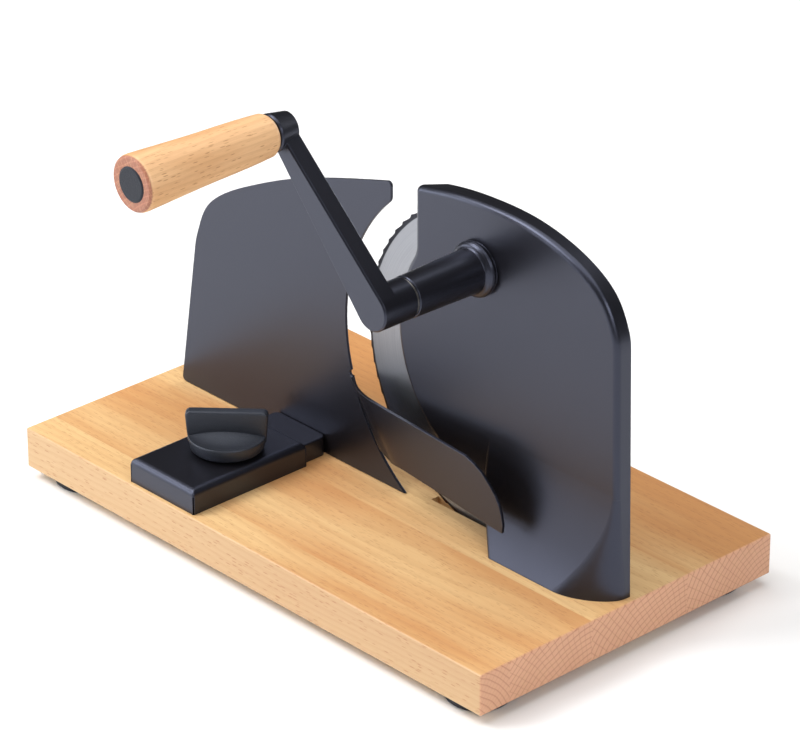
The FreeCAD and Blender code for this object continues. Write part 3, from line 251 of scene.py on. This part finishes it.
class Value:
    """A value in a finish. Its operators add the Math nodes that they stand for."""

    def __init__(self, finish, socket):
        self.finish = finish
        self.socket = socket

    def math(self, operation, *inputs):
        return self.finish.node("ShaderNodeMath", {"operation": operation}, dict(enumerate(inputs)))

    def __add__(self, other):
        return self.math("ADD", self, other)

    __radd__ = __add__

    def __sub__(self, other):
        return self.math("SUBTRACT", self, other)

    def __rsub__(self, other):
        return self.math("SUBTRACT", other, self)

    def __mul__(self, other):
        return self.math("MULTIPLY", self, other)

    __rmul__ = __mul__

    def __truediv__(self, other):
        return self.math("DIVIDE", self, other)

    def __gt__(self, other):
        return self.math("GREATER_THAN", self, other)

    def __abs__(self):
        return self.math("ABSOLUTE", self)

    def angle_to(self, other):
        return self.math("ARCTAN2", self, other)

    def hypot(self, other):
        return self.math("SQRT", self * self + other * other)

    def fraction(self):
        return self.math("FRACT", self)


class Finish:
    """A procedural material on Object coordinates."""

    def __init__(self, name, **constants):
        self.material = bpy.data.materials.new(name)
        self.material.use_nodes = True
        self.tree = self.material.node_tree
        self.shader = self.tree.nodes["Principled BSDF"]
        for socket, value in constants.items():
            self.shader.inputs[socket.replace("_", " ")].default_value = value
        self.place = self.node("ShaderNodeTexCoord", output="Object")

    def node(self, kind, settings=None, sockets=None, output=0):
        """Adds a node, sets it up, fills its sockets and returns one of its outputs."""
        node = self.tree.nodes.new(kind)
        for name, value in (settings or {}).items():
            setattr(node, name, value)
        for key, value in (sockets or {}).items():
            self.feed(node.inputs[key], value)
        return Value(self, node.outputs[output])

    def feed(self, socket, value):
        """Links a value to a socket, or sets a number or a colour on it."""
        if isinstance(value, Value):
            self.tree.links.new(value.socket, socket)
        elif socket.type == "RGBA":
            socket.default_value = (*value, 1.0)
        else:
            socket.default_value = value

    def axes(self, vector):
        """The three parts of a vector as values."""
        first = self.node("ShaderNodeSeparateXYZ", sockets={0: vector})
        return [Value(self, socket) for socket in first.socket.node.outputs]

    def vector(self, x, y, z):
        return self.node("ShaderNodeCombineXYZ", sockets={0: x, 1: y, 2: z})

    def noise(self, vector, scale=1.0, detail=2.0, roughness=0.5):
        return self.node("ShaderNodeTexNoise", {"noise_dimensions": "3D"},
                         {"Vector": vector, "Scale": scale, "Detail": detail,
                          "Roughness": roughness})

    def cells(self, vector, output="Distance"):
        return self.node("ShaderNodeTexVoronoi", {"feature": "F1"},
                         {"Vector": vector, "Scale": 1.0}, output)

    def apart(self, first, second):
        """One vector less another."""
        return self.node("ShaderNodeVectorMath", {"operation": "SUBTRACT"}, {0: first, 1: second})

    def between(self, value, low, high, at_low=0.0, at_high=1.0):
        """Eases from one number to another as the value goes from low to high."""
        return self.node("ShaderNodeMapRange", {"interpolation_type": "SMOOTHSTEP"},
                         {0: value, 1: low, 2: high, 3: at_low, 4: at_high})

    def mix(self, factor, first, second):
        """Mixes two colours."""
        return self.node("ShaderNodeMix", {"data_type": "RGBA"}, {0: factor, 6: first, 7: second},
                         2)

    def layers(self, base, *layers):
        """Lays colours over a base colour, each as strongly as its mask says."""
        for mask, tint in layers:
            base = self.mix(mask, base, tint)
        return base

    def bump(self, height, distance, normal=None):
        """Raises the surface by height, from 0 to 1, times a distance in metres."""
        sockets = {"Height": height, "Distance": distance}
        if normal:
            sockets["Normal"] = normal
        self.feed(self.shader.inputs["Normal"], self.node("ShaderNodeBump", sockets=sockets))

    def paint(self, **sockets):
        """Feeds the shader's sockets, and returns the finished material. Underscores stand for
        spaces."""
        for name, value in sockets.items():
            self.feed(self.shader.inputs[name.replace("_", " ")], value)
        return self.material


def settings(name):
    return getattr(bpy.context.scene, "slicer_" + name)


def shaded(tint, factor):
    """A colour made lighter or darker."""
    return [part * factor for part in tint]


def dress(material, *nodes):
    """Gives CAD nodes a finish in their own material slots."""
    for name in nodes:
        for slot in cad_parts[name].material_slots:
            slot.material = material


# Wood
def stave_at(side, staves):
    """Warmth and pith of the stave at a place across the wood, and a shift of its pattern, so
    that no two staves look alike."""
    warmth, pith_across, pith_deep = staves[0][1:]
    shift = 0.0
    for before, stave in zip(staves, staves[1:]):
        past = side > stave.start
        warmth = warmth + past * (stave.warmth - before.warmth)
        pith_across = pith_across + past * (stave.pith_across - before.pith_across)
        pith_deep = pith_deep + past * (stave.pith_deep - before.pith_deep)
        shift = shift + past * STAVE_SHIFT
    return warmth, pith_across, pith_deep, shift


def grain(finish, place, waves_along, waves_across, detail):
    """Noise drawn out along the grain."""
    along, side, depth = place
    stretched = finish.vector(along * waves_along, side * waves_across, depth * waves_across)
    return finish.noise(stretched, detail=detail)


def flecks(finish, place, sway):
    """1 on the short dark rays of the planed faces: an oval in each long narrow cell."""
    wood = settings("wood")
    along, side, depth = place
    spot = finish.vector(along / wood.fleck_length, (side + sway) / wood.fleck_width,
                         depth / wood.fleck_width)
    offset = finish.axes(finish.apart(spot, finish.cells(spot, "Position")))
    length_share, width_share, depth_share = (part / half for part, half in zip(offset, FLECK_OVAL))
    oval = length_share.hypot(width_share.hypot(depth_share))
    chosen = finish.axes(finish.cells(spot, "Color"))[0]
    return finish.between(oval, *FLECK_RIM, 1.0, 0.0) * finish.between(chosen, *FLECK_CHOICE)


def spokes(finish, angle, wander):
    """1 on the broad lines that run out from the pith."""
    off_line = abs((angle * SPOKES + wander * SPOKE_WANDER).fraction() - 0.5)
    return finish.between(off_line, *SPOKE_FADE, 1.0, 0.0)


def rays(finish, angle, radius, along):
    """1 on the fine pale marks that run out from the pith."""
    spot = finish.vector(angle * RAYS, radius / RAY_LENGTH, along * RAY_WAVES)
    return finish.between(finish.cells(spot), *RAY_FADE, 1.0, 0.0)


def beech(name, axes, staves, sawn, narrow, pale, end):
    """Beech with its grain along the first of three axes and its staves side by side along the
    second. Sawn is 1 where the end grain shows, and narrow is 1 on the long narrow sides."""
    wood = settings("wood")
    finish = Finish(name, Roughness=wood.roughness)
    parts = dict(zip("xyz", finish.axes(finish.place)))
    along, side, depth = (parts[axis] for axis in axes)
    warmth, pith_across, pith_deep, shift = stave_at(side, staves)
    place = (along, side + shift, depth)
    wander = grain(finish, place, *WARP) - 0.5
    pores = grain(finish, place, *PORES)
    cloud = grain(finish, place, *CLOUDS)
    across = side - pith_across
    below = depth - pith_deep
    radius = across.hypot(below) + wander * RING_WANDER
    ring = (radius / wood.ring_pitch).fraction()
    fleck = flecks(finish, place, wander * FLECK_SWAY)
    warm = finish.between(cloud + (warmth - MEAN_WARMTH) * WARMTH_SPREAD, *WARM_FADE)
    planed = finish.layers(pale,
                           (warm, wood.warm),
                           (narrow(finish, side) * wood.cream_tone, wood.cream),
                           (finish.between(ring, *LATE_FADE) * wood.ring_tone, wood.ring),
                           (fleck * wood.fleck_tone, wood.fleck),
                           ((pores - 0.5) * PORE_TONE + PORE_BASE, wood.ring))
    angle = across.angle_to(below)
    end_cloud = finish.between(cloud, *END_CLOUD_FADE)
    ends = finish.layers(end,
                         (finish.between(ring, *END_LATE_FADE) * wood.end_ring_tone, wood.end_ring),
                         (spokes(finish, angle, wander) * wood.spoke_tone, wood.end_ring),
                         (rays(finish, angle, radius, along) * wood.ray_tone, pale),
                         (end_cloud * wood.end_cloud_tone, wood.fleck))
    finish.bump(pores * PORE_RELIEF - fleck * FLECK_RELIEF, GRAIN_HEIGHT)
    return finish.paint(Base_Color=finish.mix(sawn(finish, along), planed, ends),
                        Roughness=wood.roughness + (pores - 0.5) * PORE_ROUGHNESS)


def board_ends(finish, along):
    """1 on the sawn ends of the base."""
    return finish.between(abs(along), BOARD_HIGH.x - BOARD_END_START, BOARD_HIGH.x - BOARD_END_FULL)


def board_sides(finish, side):
    """1 on the long narrow sides of the base."""
    return finish.between(abs(side), BOARD_HIGH.y - BOARD_SIDE_START, BOARD_HIGH.y - BOARD_SIDE_FULL)


def grip_ends(finish, along):
    """1 on the turned end of the grip."""
    return finish.between(along, GRIP_LOW.y + GRIP_END_FULL, GRIP_LOW.y + GRIP_END_START, 1.0, 0.0)


def no_sides(finish, side):
    """A turned grip has no narrow sides."""
    return 0.0


# Coat, metals and plastics
def powder_coat():
    """Satin black coat with its fine orange peel, and its own small radius over sharp edges."""
    coat = settings("coat")
    finish = Finish("powder_coat", IOR=1.71, Specular_Tint=(0.64, 0.695, 0.97, 1.0))
    peel = finish.noise(finish.place, scale=900.0, detail=2.0)
    cloud = finish.noise(finish.place, scale=14.0, detail=3.0)
    fine_speckle = finish.noise(finish.place, scale=4200.0, detail=1.0)
    rounded = finish.node("ShaderNodeBevel", {"samples": 6}, {"Radius": coat.edge})
    finish.bump(peel + fine_speckle * 0.5, coat.peel, rounded)
    return finish.paint(Base_Color=finish.mix(cloud * 0.35, coat.black, shaded(coat.black, 1.35)),
                        Roughness=coat.roughness + (cloud - 0.5) * 0.07 + (fine_speckle - 0.5) * 0.06)


def seam_shadow():
    """Painted shadow for the inside of an open seam: a dull near-black that reflects nothing,
    speckled a little lighter.
    """
    finish = Finish("seam_shadow", Specular_IOR_Level=0.0, Roughness=1.0)
    fine_speckle = finish.noise(finish.place, scale=1800.0, detail=2.0)
    return finish.paint(Base_Color=finish.mix(fine_speckle * 0.5, SEAM_SHADOW, SEAM_SHADOW_SPECKLE))


def blade_steel():
    """Steel polished in circles, with a darker ground edge."""
    steel = settings("steel")
    finish = Finish("blade_steel", Metallic=1.0)
    x, y, z = finish.axes(finish.place)
    across = x - BLADE_CENTRE.x
    up = z - BLADE_CENTRE.z
    radius = across.hypot(up)
    turn = across.angle_to(up)
    streak = finish.noise(finish.vector(radius * BLADE_STREAKS[0], turn * BLADE_STREAKS[1], 0.0),
                          detail=3.0)
    sheen = finish.noise(finish.vector(radius * BLADE_SHEEN[0], turn * BLADE_SHEEN[1], 1.0),
                         detail=2.0)
    edge_start = BLADE_RADIUS - steel.edge_width
    ground = finish.between(radius, edge_start - EDGE_FADE, edge_start + EDGE_FADE)
    body = finish.mix(finish.between(streak, 0.30, 0.70) * 0.4, steel.blade,
                      shaded(steel.blade, 0.72))
    finish.bump(streak, METAL_RELIEF)
    return finish.paint(Base_Color=finish.mix(ground, body, steel.edge),
                        Roughness=0.24 + streak * 0.14 + sheen * 0.10 + ground * 0.12)


def bare_metal(name, tint, roughness):
    """Machined or plated metal with fine marks."""
    finish = Finish(name, Metallic=1.0)
    mark = finish.noise(finish.place, scale=1400.0, detail=3.0)
    cloud = finish.noise(finish.place, scale=90.0, detail=2.0)
    finish.bump(mark, METAL_RELIEF)
    return finish.paint(Base_Color=finish.mix(cloud * 0.6, tint, shaded(tint, 0.78)),
                        Roughness=roughness + (mark - 0.5) * 0.16)


def moulded(name, tint, roughness, relief, waves, gloss=1.47):
    """Plastic or rubber with a fine moulded grain, of a height and of waves per metre. Gloss is
    its index of refraction."""
    finish = Finish(name, IOR=gloss, Specular_Tint=(0.78, 0.84, 1.0, 1.0))
    pit = finish.noise(finish.place, scale=waves, detail=3.0, roughness=0.6)
    cloud = finish.noise(finish.place, scale=60.0, detail=2.0)
    finish.bump(pit, relief)
    return finish.paint(Base_Color=finish.mix(cloud * 0.5, tint, shaded(tint, 1.5)),
                        Roughness=roughness + (pit - 0.5) * 0.25)


# Shapes of the corner seams
def new_piece(name, shape, material, slot, body, *replaced):
    """Turns a bmesh into a piece that rides on a body and stands for CAD nodes, if any."""
    mesh = bpy.data.meshes.new(name)
    shape.to_mesh(mesh)
    shape.free()
    mesh.shade_smooth()
    mesh.set_sharp_from_angle(angle=SHARP_ANGLE)
    mesh.materials.append(material)
    piece = bpy.data.objects.new(name, mesh)
    bpy.context.scene.collection.objects.link(piece)
    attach(piece, body)
    if replaced:
        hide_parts(*replaced)


def upright_bar(shape, height, radius, depth):
    """Adds a closed bar with its long axis upright and its ends rounded off."""
    rod = bmesh.ops.create_cone(shape, cap_ends=True, segments=BAR_SIDES, radius1=radius,
                                radius2=radius, depth=height)["verts"]
    edges = {edge for vert in rod for edge in vert.link_edges
             if abs(edge.verts[0].co.z - edge.verts[1].co.z) < height / 2}
    bevelled = bmesh.ops.bevel(shape, geom=list(edges), offset=radius * BAR_ROUNDING, segments=2,
                               profile=0.5, material=-1, affect="EDGES")["verts"]
    rod = list({*bevelled, *(vert for vert in rod if vert.is_valid)})
    bmesh.ops.scale(shape, vec=(1.0, depth / radius, 1.0), verts=rod)
    return rod


def corner_seam(shadow_strips, lips, corner):
    """The open seam at one upright corner of the clamp box: a strip of painted shadow in the gap,
    between two rounded sheet edges.
    """
    coat = settings("coat")
    outward = Vector((math.copysign(1.0, corner.x - BOX_CENTRE.x),
                      math.copysign(1.0, corner.y - BOX_CENTRE.y), 0.0)).normalized()
    beside = Vector((-outward.y, outward.x, 0.0))
    face = corner - outward * SEAM_INSET
    height = BOX_HIGH.z - BOX_LOW.z - coat.seam_drop
    middle = BOX_LOW.z + height / 2
    turn = Matrix.Rotation(math.atan2(outward.y, outward.x) + math.pi / 2, 3, "Z")
    lip_shift = coat.seam / 2 + coat.lip / 2
    for shape, shift, radius, depth in ((shadow_strips, 0.0, coat.seam / 2, SEAM_DEPTH),
                                        (lips, lip_shift, coat.lip, coat.lip),
                                        (lips, -lip_shift, coat.lip, coat.lip)):
        bar = upright_bar(shape, height, radius, depth)
        bmesh.ops.rotate(shape, cent=(0.0, 0.0, 0.0), matrix=turn, verts=bar)
        place = face + beside * shift
        bmesh.ops.translate(shape, vec=(place.x, place.y, middle), verts=bar)


# Shapes of the clamp knob
def scoop(place, knob, inner):
    """Height of a finger scoop over the rim: it dips, then climbs the wing's face in an arch."""
    chord = math.sqrt(max(inner ** 2 - place.x ** 2, 0.0))
    foot = knob.wing / 2 - SCOOP_OVERLAP
    along = (chord - abs(place.y)) / max(chord - foot, SCOOP_LEAST)
    along = min(max(along, 0.0), 1.0)
    arch = 1.0 - (place.x / inner) ** 2
    return arch * (knob.rise * along ** SCOOP_CLIMB - knob.dip * math.sin(math.pi * along))


def raise_wing(shape, knob, top):
    """A block, narrower at its foot, with large top corners and rounded borders."""
    low = knob.disc / 2
    foot = knob.radius * 2 - WING_SETBACK
    block = bmesh.ops.create_cube(shape, size=1.0)["verts"]
    bmesh.ops.scale(shape, vec=(knob.reach, knob.wing, top - low), verts=block)
    bmesh.ops.translate(shape, vec=(0.0, 0.0, (top + low) / 2), verts=block)
    for corner in block:
        if corner.co.z < knob.disc:
            corner.co.x *= foot / knob.reach
    corners = [edge for edge in shape.edges
               if all(vert.co.z > knob.disc for vert in edge.verts)
               and abs(edge.verts[0].co.y - edge.verts[1].co.y) > knob.wing / 2]
    bmesh.ops.bevel(shape, geom=corners, offset=WING_CORNER, segments=5, profile=0.5, material=-1,
                    affect="EDGES")
    borders = [edge for edge in shape.edges
               if sorted(abs(face.normal.y) > 0.9 for face in edge.link_faces) == [False, True]]
    bmesh.ops.bevel(shape, geom=borders, offset=WING_BORDER, segments=4, profile=0.5, material=-1,
                    affect="EDGES")


def spin_disc(shape, knob):
    """Spins half the disc's outline about its axis, then sinks the scoops into its top."""
    side = knob.radius - knob.lean
    outline = [(0.0, RECESS_DEPTH), (knob.recess, RECESS_DEPTH), (knob.recess, 0.0),
               (side - UNDER_EDGE, 0.0), (side, UNDER_EDGE)]
    outline += [(knob.radius - inwards, knob.disc - down) for inwards, down in RIM_CURVE]
    inner = outline[-1][0]
    outline += [(inner * (1 - step / DISC_RINGS), knob.disc) for step in range(1, DISC_RINGS + 1)]
    wing = set(shape.verts)
    points = [shape.verts.new((x, 0.0, z)) for x, z in outline]
    edges = [shape.edges.new(pair) for pair in zip(points, points[1:])]
    bmesh.ops.spin(shape, geom=points + edges, axis=(0.0, 0.0, 1.0), cent=(0.0, 0.0, 0.0),
                   angle=2 * math.pi, steps=DISC_STEPS, use_merge=True, use_duplicate=False)
    disc = [vert for vert in shape.verts if vert not in wing]
    bmesh.ops.remove_doubles(shape, verts=disc, dist=MERGE)
    bmesh.ops.recalc_face_normals(shape, faces=shape.faces)
    for vert in shape.verts:
        if vert not in wing and vert.co.z > knob.disc - MERGE and vert.co.xy.length <= inner:
            vert.co.z += scoop(vert.co, knob, inner)


# Floor, lights and camera
def lay_floor(stage):
    """A square of pale paper under the object."""
    mesh = bpy.data.meshes.new("studio_floor")
    shape = bmesh.new()
    bmesh.ops.create_grid(shape, x_segments=1, y_segments=1, size=stage.floor_size / 2)
    shape.to_mesh(mesh)
    shape.free()
    floor = bpy.data.objects.new("studio_floor", mesh)
    bpy.context.scene.collection.objects.link(floor)
    finish = Finish("floor_paper", Roughness=0.85, Specular_IOR_Level=0.2)
    cloud = finish.noise(finish.place, scale=1.5, detail=2.0)
    tint = finish.mix(cloud * 0.2, stage.floor, shaded(stage.floor, 0.98))
    mesh.materials.append(finish.paint(Base_Color=tint))


def light_sky(stage):
    """A faint even light from all sides."""
    world = bpy.data.worlds.new("studio_sky")
    world.use_nodes = True
    sky = world.node_tree.nodes["Background"]
    sky.inputs["Color"].default_value = SKY_TINT
    sky.inputs["Strength"].default_value = stage.sky
    bpy.context.scene.world = world


def hang_light(plan):
    """A soft rectangular lamp, aimed at a place, that the camera doesn't see."""
    light = bpy.data.lights.new(plan.name, "AREA")
    light.shape = "RECTANGLE"
    light.size = plan.width
    light.size_y = plan.height
    light.energy = plan.power
    light.color = plan.tint
    lamp = bpy.data.objects.new(plan.name, light)
    bpy.context.scene.collection.objects.link(lamp)
    lamp.location = plan.place
    lamp.visible_camera = False
    aim = Vector(plan.aim) - Vector(plan.place)
    lamp.rotation_euler = aim.to_track_quat("-Z", "Y").to_euler()


def set_camera(stage):
    """A long lens at the photograph's angle."""
    lens = bpy.data.cameras.new("studio_camera")
    lens.lens = stage.focal_length
    lens.sensor_width = SENSOR_WIDTH
    camera = bpy.data.objects.new("studio_camera", lens)
    camera.location = CAMERA_PLACE
    camera.rotation_euler = Euler([math.radians(angle) for angle in CAMERA_TURN])
    bpy.context.scene.collection.objects.link(camera)
    bpy.context.scene.camera = camera


# Operators, one for each group of pieces
class SLICER_OT_wooden_base(bpy.types.Operator):
    """Dresses the wooden base as four glued beech staves"""
    bl_idname = "slicer.wooden_base"
    bl_label = "Wooden base"

    def execute(self, context):
        wood = settings("wood")
        dress(beech("beech_board", "xyz", BOARD_STAVES, board_ends, board_sides, wood.light,
                    wood.end), "board")
        return {"FINISHED"}


class SLICER_OT_feet(bpy.types.Operator):
    """Dresses the rubber feet and every plated screw"""
    bl_idname = "slicer.feet"
    bl_label = "Feet and screws"

    def execute(self, context):
        plastic = settings("plastic")
        dress(moulded("foot_rubber", plastic.rubber, roughness=0.62, relief=plastic.rubber_grain,
                      waves=1500.0), "rubber_feet")
        dress(bare_metal("screw_steel", settings("steel").screw, roughness=0.30), "foot_screws",
              "housing_screws", "plate_screws", "clamp_box_screws", "axle_washer", "axle_screw",
              "grip_spindle", "clamp_nut", "clamp_stud", "clamp_pad")
        return {"FINISHED"}


class SLICER_OT_castings(bpy.types.Operator):
    """Dresses the castings and sheets in black powder coat, and adds the clamp box's corner seams
    with strips of painted shadow in their gaps
    """
    bl_idname = "slicer.castings"
    bl_label = "Coated castings and sheets"

    def execute(self, context):
        coat = powder_coat()
        dress(coat, "housing", "crank_arm", "stop_plate", "slide_bar", "clamp_box")
        shadow_strips = bmesh.new()
        lips = bmesh.new()
        for x in (BOX_LOW.x, BOX_HIGH.x):
            for y in (BOX_LOW.y, BOX_HIGH.y):
                corner_seam(shadow_strips, lips, Vector((x, y, 0.0)))
        # Strips of painted shadow fill the seams' gaps; the lips are the sheet's rounded edges in
        # the coat
        new_piece("seam_shadow_strips", shadow_strips, seam_shadow(), "black_coat", "base")
        new_piece("seam_lips", lips, coat, "black_coat", "base")
        return {"FINISHED"}


class SLICER_OT_drive(bpy.types.Operator):
    """Dresses the blade, gears, shaft and bushes"""
    bl_idname = "slicer.drive"
    bl_label = "Blade and gears"

    def execute(self, context):
        steel = settings("steel")
        dress(blade_steel(), "blade")
        dress(bare_metal("gear_steel", steel.gear, roughness=0.38), "drive_gear", "gear_key",
              "blade_gear", "blade_rivets", "blade_axle", "crank_shaft", "crank_pin")
        dress(bare_metal("bearing_bush", steel.bush, roughness=0.34), "front_bush", "rear_bush",
              "blade_bush")
        return {"FINISHED"}


class SLICER_OT_grip(bpy.types.Operator):
    """Dresses the turned beech grip"""
    bl_idname = "slicer.grip"
    bl_label = "Grip"

    def execute(self, context):
        wood = settings("wood")
        dress(beech("beech_grip", "yxz", GRIP_STAVES, grip_ends, no_sides, wood.grip,
                    wood.grip_end), "grip")
        return {"FINISHED"}


class SLICER_OT_knob(bpy.types.Operator):
    """Models the clamp knob with its wing and two finger scoops, and dresses the grip's plug"""
    bl_idname = "slicer.knob"
    bl_label = "Clamp knob and plug"

    def execute(self, context):
        plastic = settings("plastic")
        knob = settings("knob")
        material = moulded("grained_plastic", plastic.plastic, roughness=0.42,
                           relief=plastic.grain, waves=1300.0)
        shape = bmesh.new()
        raise_wing(shape, knob, KNOB_HIGH.z - KNOB_LOW.z)
        spin_disc(shape, knob)
        bmesh.ops.rotate(shape, cent=(0.0, 0.0, 0.0), matrix=Matrix.Rotation(knob.turned, 3, "Z"),
                         verts=shape.verts)
        bmesh.ops.translate(shape, vec=(KNOB_CENTRE.x, KNOB_CENTRE.y, KNOB_LOW.z),
                            verts=shape.verts)
        new_piece("winged_knob", shape, material, "black_plastic", "knob", "clamp_knob")
        dress(moulded("cap_plastic", plastic.cap, roughness=0.45, relief=plastic.grain,
                      waves=1300.0, gloss=1.36), "grip_cap")
        return {"FINISHED"}


class SLICER_OT_studio(bpy.types.Operator):
    """Lays the pale floor, hangs the soft lights and sets the camera"""
    bl_idname = "slicer.studio"
    bl_label = "Studio"

    def execute(self, context):
        stage = settings("stage")
        lay_floor(stage)
        light_sky(stage)
        for plan in LIGHTS:
            hang_light(plan)
        context.scene.view_settings.view_transform = "Standard"
        set_camera(stage)
        return {"FINISHED"}


OPERATORS = (SLICER_OT_wooden_base, SLICER_OT_feet, SLICER_OT_castings, SLICER_OT_drive,
             SLICER_OT_grip, SLICER_OT_knob, SLICER_OT_studio)
GROUPS = {"wood": WoodSettings, "coat": CoatSettings, "steel": SteelSettings,
          "plastic": PlasticSettings, "knob": KnobSettings, "stage": StageSettings}


class SLICER_PT_pieces(bpy.types.Panel):
    """Lists the slicer's operators and settings"""
    bl_idname = "SLICER_PT_pieces"
    bl_label = "Bread slicer"
    bl_space_type = "VIEW_3D"
    bl_region_type = "UI"
    bl_category = "Bread slicer"

    def draw(self, context):
        for operator in OPERATORS:
            self.layout.operator(operator.bl_idname)
        for name, group in GROUPS.items():
            box = self.layout.box()
            for field in group.__annotations__:
                box.prop(settings(name), field)


CLASSES = (*GROUPS.values(), *OPERATORS, SLICER_PT_pieces)


def register():
    for item in CLASSES:
        bpy.utils.register_class(item)
    for name, group in GROUPS.items():
        setattr(bpy.types.Scene, "slicer_" + name, PointerProperty(type=group))


def unregister():
    for name in GROUPS:
        delattr(bpy.types.Scene, "slicer_" + name)
    for item in reversed(CLASSES):
        bpy.utils.unregister_class(item)


def main():
    register()
    for operator in OPERATORS:
        group, name = operator.bl_idname.split(".")
        getattr(getattr(bpy.ops, group), name)()


if __name__ == "__main__":
    main()
